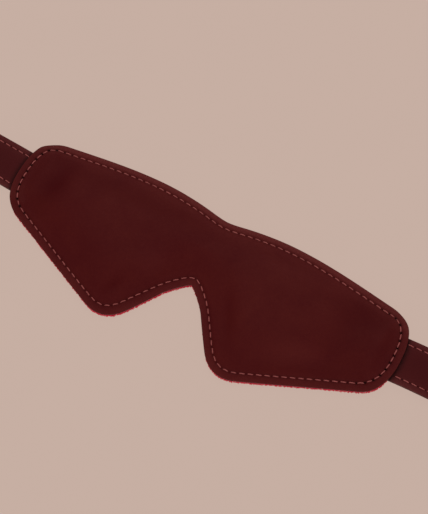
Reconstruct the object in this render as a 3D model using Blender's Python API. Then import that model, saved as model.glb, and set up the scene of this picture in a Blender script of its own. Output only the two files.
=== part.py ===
"""Padded leather blindfold with a buckled head strap.

Lies on its lining, front face up. Metres in the file, millimetres in the named sizes.
X runs along the mask, Y towards the brow, Z out of the leather front.
The origin is on the lining's back face, at the middle of the nose bridge.
"""

import math

import bmesh
import bpy
from mathutils import Vector
from mathutils.geometry import delaunay_2d_cdt, interpolate_bezier

MM = 0.001
GAP = 0.3

# Right half of the mask's outline, from the brow dip clockwise to the nose notch:
# x, y, heading in degrees, handle length before, handle length after.
HALF_OUTLINE = [
    (0.0, 20.0, 0, 2.0, 2.0),
    (8.0, 21.0, 11, 2.5, 9.0),
    (38.0, 24.0, 0, 10.0, 20.0),
    (94.8, 18.3, -8, 17.5, 10.5),
    (110.0, -1.5, -87, 11.5, 12.5),
    (98.5, -28.9, -157, 11.0, 18.0),
    (43.5, -52.7, -157, 19.0, 5.0),
    (23.2, -47.8, -231, 12.0, 2.5),
    (11.8, -31.0, -237, 4.5, 6.5),
    (0.0, -19.1, -180, 0.5, 3.0),
]
OUTLINE_STEPS = 7

# Layers of the mask, from the table up.
LINING_THICK = 2.2
LEATHER_THICK = 1.3
FOAM_INSET = 6.5
FOAM_END_INSET = 3.2
PAD_RISE = 5.0
PAD_START = 4.6
PAD_SOFTNESS = 7.0
SEAM_INSET = 4.0
SEAM_TROUGH = 0.9
THREAD_WIDE = 0.7
THREAD_HIGH = 0.4

# Both straps: two plies, sewn along both edges.
PLY_THICK = 1.05
STRAP_THICK = 2 * PLY_THICK + GAP
STRAP_HALF = 12.0
STRAP_EXIT_X = 110.0
HOLE_STRAP_EXIT_Y = -5.0
BUCKLE_STRAP_EXIT_Y = -6.1
STRAP_RISE_DEG = 3.4
STRAP_SEAM_INSET = 3.1
TAB_LENGTH = 8.0
TAB_MARGIN = 3.5
TAB_FADE = 7.0
TAB_MID_Z = LINING_THICK + GAP + STRAP_THICK / 2
BEND_GAP = 2.5
FIRST_BEND = 2.4
DROP_LENGTH = 38.0

# Hole strap, at +X.
HOLE_STRAP_BENDS = [FIRST_BEND, 75.0, 150.0, 225.0]
HOLE_STRAP_LENGTH = 300.0
HOLE_STRAP_MID_Z = STRAP_THICK / 2
TIP_LENGTH = 17.0
HOLE_RADIUS = 2.0
FIRST_HOLE = 165.0
HOLE_PITCH = 24.0
HOLE_COUNT = 5

# Buckle strap, at -X.
BUCKLE_STRAP_BENDS = [FIRST_BEND, 60.0]
BAR_AT = 140.0
WIRE_RADIUS = 1.4
WRAP_INNER = WIRE_RADIUS + GAP
BUCKLE_STRAP_MID_Z = WRAP_INNER + PLY_THICK
TURNBACK_END = 101.0
SLOT_START = 129.0
SLOT_HALF = 2.2
RIVET_PLACES = [107.0, 124.0]
RIVET_HOLE = 1.8
RIVET_POST = 1.4
RIVET_CAP = 3.4

# Buckle and keepers.
FRAME_HALF = 14.1
FRAME_LENGTH = 17.5
FRAME_CORNER = 4.0
PRONG_HALF = 1.5
PRONG_THICK = 1.1
PRONG_REACH = 19.0
KEEPER_WIDE = 8.0
KEEPER_THICK = 1.15
KEEPER_SIDE_ROOM = 0.6
KEEPER_TOP_ROOM = 3.1
KEEPER_CORNER = 1.6
FIXED_KEEPER_AT = 115.5
SLIDING_KEEPER_AT = 94.0

BURGUNDY = (0.061, 0.008, 0.008)
CRIMSON = (0.23, 0.006, 0.016)
THREAD_RED = (0.22, 0.053, 0.048)
FOAM_GREY = (0.35, 0.34, 0.33)
BRASS = (0.78, 0.57, 0.27)


def clear_scene():
    for thing in list(bpy.data.objects):
        bpy.data.objects.remove(thing)


def material(name, colour, roughness, metallic=0.0):
    made = bpy.data.materials.new(name)
    made.use_nodes = True
    shader = made.node_tree.nodes["Principled BSDF"]
    shader.inputs["Base Color"].default_value = (*colour, 1.0)
    shader.inputs["Roughness"].default_value = roughness
    shader.inputs["Metallic"].default_value = metallic
    return made


def add_object(name, mesh, finish, parent=None):
    thing = bpy.data.objects.new(name, mesh)
    bpy.context.scene.collection.objects.link(thing)
    thing.data.materials.append(finish)
    thing.parent = parent
    return thing


def add_empty(name, place, turn_deg=0.0, parent=None):
    empty = bpy.data.objects.new(name, None)
    bpy.context.scene.collection.objects.link(empty)
    empty.location = Vector(place) * MM
    empty.rotation_euler = (0.0, 0.0, math.radians(turn_deg))
    empty.parent = parent
    return empty


def mesh_of(name, points, faces, about=(0.0, 0.0, 0.0)):
    """A closed mesh from points in millimetres, with its origin at the point given."""
    mesh = bpy.data.meshes.new(name)
    shift = Vector(about)
    mesh.from_pydata([(Vector(p) - shift) * MM for p in points], [], faces)
    form = bmesh.new()
    form.from_mesh(mesh)
    bmesh.ops.remove_doubles(form, verts=form.verts, dist=1e-6)
    bmesh.ops.recalc_face_normals(form, faces=form.faces)
    form.to_mesh(mesh)
    form.free()
    return mesh


# ---------------------------------------------------------------- mask outline


def outline():
    """The whole outline, anticlockwise, as a list of 2D points."""
    half = []
    for first, last in zip(HALF_OUTLINE[:-1], HALF_OUTLINE[1:]):
        start = Vector((first[0], first[1], 0))
        end = Vector((last[0], last[1], 0))
        leave = Vector((math.cos(math.radians(first[2])), math.sin(math.radians(first[2])), 0))
        arrive = Vector((math.cos(math.radians(last[2])), math.sin(math.radians(last[2])), 0))
        curve = interpolate_bezier(
            start, start + leave * first[4], end - arrive * last[3], end, OUTLINE_STEPS + 1
        )
        half += [p.to_2d() for p in curve[:-1]]
    half.append(Vector(HALF_OUTLINE[-1][:2]))
    mirrored = [Vector((-p.x, p.y)) for p in half[1:-1]]
    clockwise = half + mirrored[::-1]
    return clockwise[::-1]


def edge_distance(point, loop):
    """How far a 2D point lies from the closed loop."""
    nearest = 1e9
    for a, b in zip(loop, loop[1:] + loop[:1]):
        along = b - a
        share = max(0.0, min(1.0, (point - a).dot(along) / along.length_squared))
        nearest = min(nearest, (point - a - along * share).length)
    return nearest


def is_inside(point, loop):
    inside = False
    for a, b in zip(loop, loop[1:] + loop[:1]):
        crosses = (a.y > point.y) != (b.y > point.y)
        if crosses and point.x < (b.x - a.x) * (point.y - a.y) / (b.y - a.y) + a.x:
            inside = not inside
    return inside


def inset(loop, depth_at):
    """The loop's points moved inwards by a depth, without those that would cross over.

    depth_at is that depth, or a function of the point that gives it.
    """
    moved = []
    for i, p in enumerate(loop):
        depth = depth_at(p) if callable(depth_at) else depth_at
        along = (loop[(i + 1) % len(loop)] - loop[i - 1]).normalized()
        point = p + Vector((-along.y, along.x)) * depth
        if edge_distance(point, loop) > depth - 0.12:
            moved.append(point)
    return moved


def field_points(loop, margin, spacing):
    """Points in a triangular pattern, at least margin inside the loop."""
    found = []
    row = 0
    y = min(p.y for p in loop)
    while y < max(p.y for p in loop):
        x = min(p.x for p in loop) + (row % 2) * spacing / 2
        while x < max(p.x for p in loop):
            point = Vector((x, y))
            if is_inside(point, loop) and edge_distance(point, loop) > margin:
                found.append(point)
            x += spacing
        y += spacing * math.sqrt(3) / 2
        row += 1
    return found


def smooth_step(share):
    share = max(0.0, min(1.0, share))
    return share * share * (3 - 2 * share)


def strap_cover(x, y):
    """1 over the sewn-in end of a strap, 0 away from it, smooth between."""
    exit_y = HOLE_STRAP_EXIT_Y if x > 0 else BUCKLE_STRAP_EXIT_Y
    beside = max(0.0, abs(y - exit_y) - STRAP_HALF - TAB_MARGIN)
    before = max(0.0, STRAP_EXIT_X - TAB_LENGTH - TAB_MARGIN - abs(x))
    return smooth_step(1.0 - math.hypot(beside, before) / TAB_FADE)


def leather_inside(x, y, depth):
    """Height of the front leather's inner face, depth millimetres in from the edge."""
    padding = PAD_RISE * (1 - math.exp(-max(0.0, depth - PAD_START) / PAD_SOFTNESS))
    over_strap = (STRAP_THICK + GAP) * strap_cover(x, y)
    return LINING_THICK + GAP + math.hypot(padding, over_strap)


def foam_inset(p):
    """The foam stops just inside the seam, and short of the sewn-in strap ends."""
    return FOAM_INSET + FOAM_END_INSET * strap_cover(p.x, p.y)


def strap_end_points(loop):
    """Extra points where the layers rise over the sewn-in strap ends."""
    found = []
    spacing = 4.5
    for side, exit_y in ((-1, BUCKLE_STRAP_EXIT_Y), (1, HOLE_STRAP_EXIT_Y)):
        for step_x in range(5):
            for step_y in range(10):
                x = side * (STRAP_EXIT_X - 5.0 - spacing * step_x)
                point = Vector((x, exit_y + spacing * (step_y - 4.5)))
                if is_inside(point, loop) and edge_distance(point, loop) > PAD_START + GAP:
                    found.append(point)
    return found


def layer(name, loop, inner_points, height_low, height_high):
    """A closed solid inside the loop between two height functions of x, y and depth."""
    count = len(loop)
    seeds = [Vector(p) for p in loop] + inner_points
    edges = [(i, (i + 1) % count) for i in range(count)]
    flat, _, faces, _, _, _ = delaunay_2d_cdt(seeds, edges, [], 1, 1e-4)
    mask_loop = outline()
    depths = [edge_distance(p, mask_loop) for p in flat]
    low = [(p.x, p.y, height_low(p.x, p.y, d)) for p, d in zip(flat, depths)]
    high = [(p.x, p.y, height_high(p.x, p.y, d)) for p, d in zip(flat, depths)]
    total = len(flat)
    skin = [tuple(i + total for i in f) for f in faces]
    skin += [tuple(reversed(f)) for f in faces]
    uses = {}
    for f in faces:
        for a, b in zip(f, f[1:] + f[:1]):
            uses[(a, b)] = True
    rim = [(a, b) for a, b in uses if (b, a) not in uses]
    skin += [(a, b, b + total, a + total) for a, b in rim]
    return mesh_of(name, low + high, skin)


def band(name, path, wide, heights, closed, about=(0.0, 0.0, 0.0)):
    """A flat band along a 2D path. heights gives the low and high side at each point."""
    points = []
    last = len(path) - 1
    for i, p in enumerate(path):
        before = path[i - 1] if closed or i else path[0]
        after = path[(i + 1) % len(path)] if closed or i < last else path[last]
        along = (after - before).normalized()
        side = Vector((-along.y, along.x)) * wide / 2
        low, high = heights(p)
        points += [(p.x - side.x, p.y - side.y, low), (p.x + side.x, p.y + side.y, low)]
        points += [(p.x + side.x, p.y + side.y, high), (p.x - side.x, p.y - side.y, high)]
    faces = []
    for i in range(len(path) if closed else last):
        here = 4 * i
        there = 4 * ((i + 1) % len(path))
        for k in range(4):
            n = (k + 1) % 4
            faces.append((here + k, here + n, there + n, there + k))
    if not closed:
        faces += [(0, 1, 2, 3), (4 * last + 3, 4 * last + 2, 4 * last + 1, 4 * last)]
    return mesh_of(name, points, faces, about)


def build_mask(leather, foam, lining, thread):
    edge = outline()
    beside_seam = inset(edge, SEAM_INSET - 0.7) + inset(edge, SEAM_INSET + 0.7)
    trough_sides = inset(edge, SEAM_INSET - 1.6) + inset(edge, SEAM_INSET + 1.6)
    lining_points = beside_seam + trough_sides + field_points(edge, 12.0, 12.0)
    extra = strap_end_points(edge)
    foam_edge = inset(edge, foam_inset)
    padded_points = field_points(edge, 13.0, 8.5)
    for p in inset(edge, 9.5) + extra:
        if edge_distance(p, edge) > foam_inset(p) + 0.8:
            padded_points.append(p)

    def lining_low(x, y, depth):
        return SEAM_TROUGH if abs(depth - SEAM_INSET) < 0.8 else 0.0

    def lining_high(x, y, depth):
        return LINING_THICK

    def panel_high(x, y, depth):
        return leather_inside(x, y, depth) + LEATHER_THICK

    def foam_low(x, y, depth):
        return LINING_THICK + GAP

    def foam_high(x, y, depth):
        return leather_inside(x, y, depth) - 1.5 * GAP

    lining_mesh = layer("plush_lining", edge, lining_points, lining_low, lining_high)
    add_object("plush_lining", lining_mesh, lining)
    add_object(
        "front_leather_panel",
        layer(
            "front_leather_panel", edge, beside_seam + foam_edge + padded_points,
            leather_inside, panel_high,
        ),
        leather,
    )
    add_object(
        "foam_padding",
        layer("foam_padding", foam_edge, padded_points, foam_low, foam_high),
        foam,
    )

    seam = inset(edge, SEAM_INSET)

    def front_thread(p):
        low = leather_inside(p.x, p.y, SEAM_INSET) + LEATHER_THICK + 1.5 * GAP
        return low, low + THREAD_HIGH

    def back_thread(p):
        low = SEAM_TROUGH - GAP - THREAD_HIGH
        return low, low + THREAD_HIGH

    for name, heights in (
        ("edge_seam_front_thread", front_thread),
        ("edge_seam_back_thread", back_thread),
    ):
        add_object(name, band(name, seam, THREAD_WIDE, heights, True), thread)


# ---------------------------------------------------------------- straps


def drop_share(u):
    """0 where the strap leaves the mask, 1 once it is down at its own height."""
    return smooth_step((u - FIRST_BEND) / (DROP_LENGTH - FIRST_BEND))


def hole_strap_mid(u):
    return TAB_MID_Z + (HOLE_STRAP_MID_Z - TAB_MID_Z) * drop_share(u)


def buckle_strap_mid(u):
    return TAB_MID_Z + (BUCKLE_STRAP_MID_Z - TAB_MID_Z) * drop_share(u)


def stations(start, end, step):
    count = max(1, math.ceil((end - start) / step))
    return [start + (end - start) * i / count for i in range(count + 1)]


def strap_stations(start, end):
    """Close together where the strap drops to the table, and only the ends elsewhere."""
    if start < DROP_LENGTH:
        return stations(start, DROP_LENGTH, 4.5) + [end]
    return [start, end]


def ribbon(name, places, half_wide, low, high, about):
    """A plate across the strap through the given places, between two heights of u."""
    points = []
    for u in places:
        points += [(u, -half_wide, low(u)), (u, half_wide, low(u))]
        points += [(u, half_wide, high(u)), (u, -half_wide, high(u))]
    faces = [(0, 1, 2, 3)]
    for i in range(len(places) - 1):
        for k in range(4):
            n = (k + 1) % 4
            faces.append((4 * i + k, 4 * i + n, 4 * i + 4 + n, 4 * i + 4 + k))
    end = 4 * (len(places) - 1)
    faces.append((end + 3, end + 2, end + 1, end))
    return mesh_of(name, points, faces, about)


def plate(name, loop, low, high, about):
    """A flat plate with the loop as its outline."""
    count = len(loop)
    points = [(p.x, p.y, low) for p in loop] + [(p.x, p.y, high) for p in loop]
    faces = [tuple(range(count))[::-1], tuple(range(count, 2 * count))]
    for i in range(count):
        n = (i + 1) % count
        faces.append((i, n, n + count, i + count))
    return mesh_of(name, points, faces, about)


def place_piece(name, mesh, finish, pivot):
    """A piece whose mesh is already about its pivot, hung on that pivot's empty."""
    return add_object(name, mesh, finish, pivot)


def cut(target, cutter):
    cutter.hide_render = True
    cutter.display_type = "WIRE"
    boolean = target.modifiers.new("cut_" + cutter.name, "BOOLEAN")
    boolean.operation = "DIFFERENCE"
    boolean.solver = "EXACT"
    boolean.object = cutter


def rod_cutter(name, place, radius, low, high, about, finish, pivot):
    """A round cutter that stands upright at the place given along the strap."""
    ring = [
        Vector((place + radius * math.cos(a), radius * math.sin(a)))
        for a in [2 * math.pi * k / 16 for k in range(16)]
    ]
    return place_piece(name, plate(name, ring, low, high, about), finish, pivot)


def tip_half_width(u):
    """Half the strap's width at u: full, then a rounded point over the last stretch."""
    share = max(0.0, (u - (HOLE_STRAP_LENGTH - TIP_LENGTH)) / TIP_LENGTH)
    return STRAP_HALF * math.sqrt(max(0.0, 1 - share**1.7))


def tip_loop(start):
    """Outline of the last stretch of the hole strap."""
    places = [start] + [
        HOLE_STRAP_LENGTH - TIP_LENGTH + TIP_LENGTH * math.sin(math.pi / 2 * k / 9) for k in range(10)
    ]
    upper = [Vector((u, tip_half_width(u))) for u in places]
    return [Vector((p.x, -p.y)) for p in upper] + upper[-2::-1]


def tip_seam_path(start):
    """The stitch line of the last stretch: up one edge, round the tip and back."""
    loop = tip_loop(start - 2 * STRAP_SEAM_INSET)
    run = inset(loop, STRAP_SEAM_INSET)
    lower = [p for p in run if p.y <= 0 and p.x > start + 1]
    upper = [p for p in run if p.y > 0 and p.x > start + 1]
    side = STRAP_HALF - STRAP_SEAM_INSET
    return [Vector((start, -side))] + lower + upper + [Vector((start, side))]


def strap_threads(label, start, end, mid, about, thread, pivot):
    for side, word in ((-1, "lower"), (1, "upper")):
        path = [Vector((u, side * (STRAP_HALF - STRAP_SEAM_INSET))) for u in strap_stations(start, end)]

        def heights(p):
            low = mid(p.x) + STRAP_THICK / 2 + GAP
            return low, low + THREAD_HIGH

        name = f"{label}_{word}_thread"
        place_piece(name, band(name, path, THREAD_WIDE, heights, False, about), thread, pivot)


def strap_plies(label, start, end, mid, about, leather, pivot, backing_end=None):
    """The outer and backing ply of one straight stretch of strap."""
    inner = GAP / 2
    outer = STRAP_THICK / 2
    face = ribbon(
        label + "_outer_ply", strap_stations(start, end), STRAP_HALF,
        lambda u: mid(u) + inner, lambda u: mid(u) + outer, about,
    )
    back = ribbon(
        label + "_backing_ply", strap_stations(start, backing_end or end), STRAP_HALF,
        lambda u: mid(u) - outer, lambda u: mid(u) - inner, about,
    )
    outer_piece = place_piece(label + "_outer_ply", face, leather, pivot)
    backing_piece = place_piece(label + "_backing_ply", back, leather, pivot)
    return outer_piece, backing_piece


def punch_holes(pieces, places, about, leather, pivot):
    for piece in pieces:
        for number, place in enumerate(places):
            name = f"{piece.name}_punch_{number}"
            cut(piece, rod_cutter(name, place, HOLE_RADIUS, -5.0, 8.0, about, leather, pivot))


def build_hole_strap(leather, thread, root):
    bends = HOLE_STRAP_BENDS
    ends = bends[1:] + [HOLE_STRAP_LENGTH]
    holes = [FIRST_HOLE + HOLE_PITCH * k for k in range(HOLE_COUNT)]
    for number, (bend, end) in enumerate(zip(bends, ends), 1):
        about = (bend, 0.0, hole_strap_mid(bend))
        pivot = add_empty(f"hole_strap_{number}_pivot", about, 0.0, root)
        label = f"hole_strap_{number}"
        start = bend + BEND_GAP / 2
        if number < len(bends):
            stop = end - BEND_GAP / 2
            pieces = strap_plies(label, start, stop, hole_strap_mid, about, leather, pivot)
            strap_threads(label, start, stop, hole_strap_mid, about, thread, pivot)
        else:
            loop = tip_loop(start)
            face = plate(label, loop, HOLE_STRAP_MID_Z + GAP / 2, STRAP_THICK, about)
            back = plate(label, loop, 0.0, HOLE_STRAP_MID_Z - GAP / 2, about)
            pieces = (
                place_piece(label + "_outer_ply", face, leather, pivot),
                place_piece(label + "_backing_ply", back, leather, pivot),
            )
            seam = band(
                label, tip_seam_path(start), THREAD_WIDE,
                lambda p: (STRAP_THICK + GAP, STRAP_THICK + GAP + THREAD_HIGH), False, about,
            )
            place_piece(label + "_thread", seam, thread, pivot)
        punch_holes(pieces, [h for h in holes if bend < h < end], about, leather, pivot)


def wrap_profile():
    """Centre line of the outer ply where it goes over the buckle bar and comes back under."""
    radius = WRAP_INNER + PLY_THICK / 2
    near = STRAP_THICK / 2 - PLY_THICK / 2
    rise_from = BAR_AT - 9.0
    top = []
    for k in range(5):
        share = k / 5
        top.append((rise_from + (BAR_AT - rise_from) * share, near + (radius - near) * smooth_step(share)))
    arc = [
        (BAR_AT + radius * math.sin(a), radius * math.cos(a))
        for a in [math.pi * k / 12 for k in range(13)]
    ]
    bottom = [(u, -z) for u, z in reversed(top)]
    return top, arc, bottom, near


def profile_solid(name, line, thick, half_wide, about, lift):
    """A strip bent along a line in the upright plane, and as wide as the strap."""
    count = len(line)
    left, right = [], []
    for i, p in enumerate(line):
        before = Vector(line[max(0, i - 1)])
        after = Vector(line[min(count - 1, i + 1)])
        along = (after - before).normalized()
        normal = Vector((-along.y, along.x)) * thick / 2
        left.append((p[0] + normal.x, p[1] + normal.y + lift))
        right.append((p[0] - normal.x, p[1] - normal.y + lift))
    points = []
    for (lu, lz), (ru, rz) in zip(left, right):
        points += [(lu, -half_wide, lz), (lu, half_wide, lz), (ru, half_wide, rz), (ru, -half_wide, rz)]
    faces = [(0, 1, 2, 3)]
    for i in range(count - 1):
        for k in range(4):
            n = (k + 1) % 4
            faces.append((4 * i + k, 4 * i + n, 4 * i + 4 + n, 4 * i + 4 + k))
    end = 4 * (count - 1)
    faces.append((end + 3, end + 2, end + 1, end))
    return mesh_of(name, points, faces, about)


def turned(name, profile, about, place, steps=20):
    """A solid of revolution about the upright line at the place given along the strap."""
    mesh = bpy.data.meshes.new(name)
    form = bmesh.new()
    shift = Vector(about)
    verts = [form.verts.new((Vector((place + r, 0.0, z)) - shift) * MM) for r, z in profile]
    edges = [form.edges.new((a, b)) for a, b in zip(verts[:-1], verts[1:])]
    centre = (Vector((place, 0.0, 0.0)) - shift) * MM
    bmesh.ops.spin(
        form, geom=verts + edges, cent=centre, axis=(0, 0, 1), angle=2 * math.pi, steps=steps
    )
    bmesh.ops.remove_doubles(form, verts=form.verts, dist=1e-6)
    bmesh.ops.recalc_face_normals(form, faces=form.faces)
    form.to_mesh(mesh)
    form.free()
    mesh.shade_smooth()
    mesh.set_sharp_from_angle(angle=math.radians(35))
    return mesh


def build_rivets(brass, about, pivot):
    bottom = BUCKLE_STRAP_MID_Z - STRAP_THICK / 2
    top = BUCKLE_STRAP_MID_Z + STRAP_THICK / 2
    for number, place in enumerate(RIVET_PLACES, 1):
        foot = bottom - GAP - 0.8
        post = [
            (0, foot), (RIVET_CAP - 0.4, foot), (RIVET_CAP, foot + 0.3), (RIVET_CAP, foot + 0.8),
            (RIVET_POST, foot + 0.8), (RIVET_POST, top + GAP + 0.5), (0, top + GAP + 0.5),
        ]
        seat = top + GAP
        cap = [
            (0, seat + 1.6), (1.6, seat + 1.45), (2.8, seat + 1.0), (RIVET_CAP, seat + 0.4),
            (RIVET_CAP, seat), (RIVET_POST + GAP, seat), (RIVET_POST + GAP, seat + 0.8), (0, seat + 0.8),
        ]
        post_mesh = turned(f"rivet_{number}_post", post, about, place)
        cap_mesh = turned(f"rivet_{number}_cap", cap, about, place)
        place_piece(f"rivet_{number}_post", post_mesh, brass, pivot)
        place_piece(f"rivet_{number}_cap", cap_mesh, brass, pivot)


def rounded_box_loop(half_wide, low, high, corner):
    """A rounded rectangle in the upright plane across the strap."""
    loop = []
    centres = [
        (half_wide - corner, high - corner, 0),
        (-half_wide + corner, high - corner, 90),
        (-half_wide + corner, low + corner, 180),
        (half_wide - corner, low + corner, 270),
    ]
    for y, z, turn in centres:
        for k in range(4):
            a = math.radians(turn + 30 * k)
            loop.append((y + corner * math.cos(a), z + corner * math.sin(a)))
    return loop


def keeper(name, centre, about, finish, pivot):
    """A closed leather loop round the strap, with room above it for the other strap."""
    half = STRAP_HALF + KEEPER_SIDE_ROOM
    low = BUCKLE_STRAP_MID_Z - STRAP_THICK / 2 - GAP
    high = BUCKLE_STRAP_MID_Z + STRAP_THICK / 2 + KEEPER_TOP_ROOM
    inner = rounded_box_loop(half, low, high, KEEPER_CORNER - KEEPER_THICK)
    outer = rounded_box_loop(
        half + KEEPER_THICK, low - KEEPER_THICK, high + KEEPER_THICK, KEEPER_CORNER
    )
    points = []
    for u in (centre - KEEPER_WIDE / 2, centre + KEEPER_WIDE / 2):
        points += [(u, y, z) for y, z in inner]
        points += [(u, y, z) for y, z in outer]
    count = len(inner)
    faces = []
    for i in range(count):
        n = (i + 1) % count
        faces.append((i, n, count + n, count + i))
        faces.append((2 * count + i, 3 * count + i, 3 * count + n, 2 * count + n))
        faces.append((i, 2 * count + i, 2 * count + n, n))
        faces.append((count + i, count + n, 3 * count + n, 3 * count + i))
    return place_piece(name, mesh_of(name, points, faces, about), finish, pivot)


def build_buckle_strap(leather, thread, brass, root):
    first_end = BUCKLE_STRAP_BENDS[1] - BEND_GAP / 2
    first_start = FIRST_BEND + BEND_GAP / 2
    about = (FIRST_BEND, 0.0, TAB_MID_Z)
    pivot = add_empty("buckle_strap_1_pivot", about, 0.0, root)
    strap_plies("buckle_strap_1", first_start, first_end, buckle_strap_mid, about, leather, pivot)
    strap_threads("buckle_strap_1", first_start, first_end, buckle_strap_mid, about, thread, pivot)

    start = BUCKLE_STRAP_BENDS[1] + BEND_GAP / 2
    about = (BUCKLE_STRAP_BENDS[1], 0.0, BUCKLE_STRAP_MID_Z)
    pivot = add_empty("buckle_strap_2_pivot", about, 0.0, root)
    top, arc, bottom, near = wrap_profile()
    line = [(start, near)] + top + arc + bottom + [(TURNBACK_END, -near)]
    outer = place_piece(
        "buckle_strap_2_outer_ply",
        profile_solid("buckle_strap_2_outer_ply", line, PLY_THICK, STRAP_HALF, about, BUCKLE_STRAP_MID_Z),
        leather, pivot,
    )
    slot_loop = [
        Vector((SLOT_START, -SLOT_HALF)), Vector((BAR_AT + 5, -SLOT_HALF)),
        Vector((BAR_AT + 5, SLOT_HALF)), Vector((SLOT_START, SLOT_HALF)),
    ]
    slot_mesh = plate("prong_slot", slot_loop, -3.0, 9.0, about)
    cut(outer, place_piece("prong_slot_cutter", slot_mesh, leather, pivot))
    for number, place in enumerate(RIVET_PLACES):
        name = f"rivet_hole_cutter_{number}"
        cut(outer, rod_cutter(name, place, RIVET_HOLE, -3.0, 9.0, about, leather, pivot))
    backing = ribbon(
        "buckle_strap_2_backing_ply", [start, TURNBACK_END - 0.4], STRAP_HALF,
        lambda u: BUCKLE_STRAP_MID_Z - STRAP_THICK / 2, lambda u: BUCKLE_STRAP_MID_Z - GAP / 2, about,
    )
    place_piece("buckle_strap_2_backing_ply", backing, leather, pivot)
    strap_threads("buckle_strap_2", start, SLOT_START, buckle_strap_mid, about, thread, pivot)
    build_rivets(brass, about, pivot)
    keeper("fixed_keeper_loop", FIXED_KEEPER_AT, about, leather, pivot)
    slide_about = (SLIDING_KEEPER_AT, 0.0, BUCKLE_STRAP_MID_Z)
    slide_pivot = add_empty("sliding_keeper_pivot", slide_about, 0.0, root)
    keeper("sliding_keeper_loop", SLIDING_KEEPER_AT, slide_about, leather, slide_pivot)


def build_strap_tabs(leather, hole_root, buckle_root):
    """The strap ends that are sewn in between the front leather and the lining."""
    for label, root in (("hole_strap", hole_root), ("buckle_strap", buckle_root)):
        about = (0.0, 0.0, TAB_MID_Z)
        mesh = ribbon(
            label + "_sewn_tab", [-TAB_LENGTH, FIRST_BEND - BEND_GAP / 2], STRAP_HALF,
            lambda u: TAB_MID_Z - STRAP_THICK / 2, lambda u: TAB_MID_Z + STRAP_THICK / 2, about,
        )
        pivot = add_empty(label + "_tab_place", about, 0.0, root)
        place_piece(label + "_sewn_tab", mesh, leather, pivot)


# ---------------------------------------------------------------- buckle


def frame_path():
    """Centre line of the buckle frame's wire, a rounded rectangle from the bar to the toe."""
    path = []
    corners = [
        (FRAME_LENGTH - FRAME_CORNER, FRAME_HALF - FRAME_CORNER, 0),
        (FRAME_CORNER - 1.4, FRAME_HALF - FRAME_CORNER + 1.4, 90),
        (FRAME_CORNER - 1.4, -FRAME_HALF + FRAME_CORNER - 1.4, 180),
        (FRAME_LENGTH - FRAME_CORNER, -FRAME_HALF + FRAME_CORNER, 270),
    ]
    for u, v, turn in corners:
        radius = FRAME_CORNER if u > FRAME_LENGTH / 2 else FRAME_CORNER - 1.4
        for k in range(6):
            a = math.radians(turn + 18 * k)
            path.append(Vector((u + radius * math.cos(a), v + radius * math.sin(a), 0.0)))
    return path


def build_buckle(brass, root):
    about = (BAR_AT, 0.0, BUCKLE_STRAP_MID_Z)
    pivot = add_empty("buckle_bar_pivot", about, 0.0, root)
    drop = BUCKLE_STRAP_MID_Z - WIRE_RADIUS
    pivot.rotation_euler = (0.0, math.asin(drop / FRAME_LENGTH), 0.0)

    path = frame_path()
    sides = 12
    points = []
    for i, p in enumerate(path):
        along = (path[(i + 1) % len(path)] - path[i - 1]).normalized()
        outward = Vector((along.y, -along.x, 0.0))
        for k in range(sides):
            a = 2 * math.pi * k / sides
            points.append(p + outward * WIRE_RADIUS * math.cos(a) + Vector((0, 0, WIRE_RADIUS * math.sin(a))))
    faces = []
    for i in range(len(path)):
        here = sides * i
        there = sides * ((i + 1) % len(path))
        for k in range(sides):
            n = (k + 1) % sides
            faces.append((here + k, here + n, there + n, there + k))
    frame_mesh = mesh_of("buckle_frame", points, faces)
    frame_mesh.shade_smooth()
    place_piece("buckle_frame", frame_mesh, brass, pivot)

    radius = WRAP_INNER + PRONG_THICK / 2
    line = []
    for k in range(17):
        a = math.radians(20 - 290 * k / 16)
        line.append((radius * math.cos(a), radius * math.sin(a)))
    line += [(FRAME_LENGTH * share, radius) for share in (0.5, 0.9)]
    line.append((PRONG_REACH, radius - 0.1))
    prong_mesh = profile_solid("buckle_prong", line, PRONG_THICK, PRONG_HALF, (0, 0, 0), 0.0)
    place_piece("buckle_prong", prong_mesh, brass, pivot)


def build():
    clear_scene()
    leather = material("burgundy_leather", BURGUNDY, 0.5)
    foam = material("grey_foam", FOAM_GREY, 0.95)
    lining = material("crimson_plush", CRIMSON, 0.9)
    thread = material("dusty_red_thread", THREAD_RED, 0.6)
    brass = material("pale_brass", BRASS, 0.25, 1.0)
    build_mask(leather, foam, lining, thread)
    hole_exit = (STRAP_EXIT_X, HOLE_STRAP_EXIT_Y, 0.0)
    buckle_exit = (-STRAP_EXIT_X, BUCKLE_STRAP_EXIT_Y, 0.0)
    hole_root = add_empty("hole_strap_root", hole_exit, STRAP_RISE_DEG)
    buckle_root = add_empty("buckle_strap_root", buckle_exit, 180.0 - STRAP_RISE_DEG)
    build_strap_tabs(leather, hole_root, buckle_root)
    build_hole_strap(leather, thread, hole_root)
    build_buckle_strap(leather, thread, brass, buckle_root)
    build_buckle(brass, buckle_root)


build()
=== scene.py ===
"""The look of a padded leather blindfold with a buckled head strap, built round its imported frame.

Sizes are named in millimetres and the meshes are in metres. X runs along the mask, Y towards the
brow and Z out of the leather front. The plush lining rests on the floor at Z zero.
"""

import math
import random

import bpy
import numpy as np
from mathutils import Matrix, Vector
from mathutils.geometry import delaunay_2d_cdt, interpolate_bezier


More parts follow.
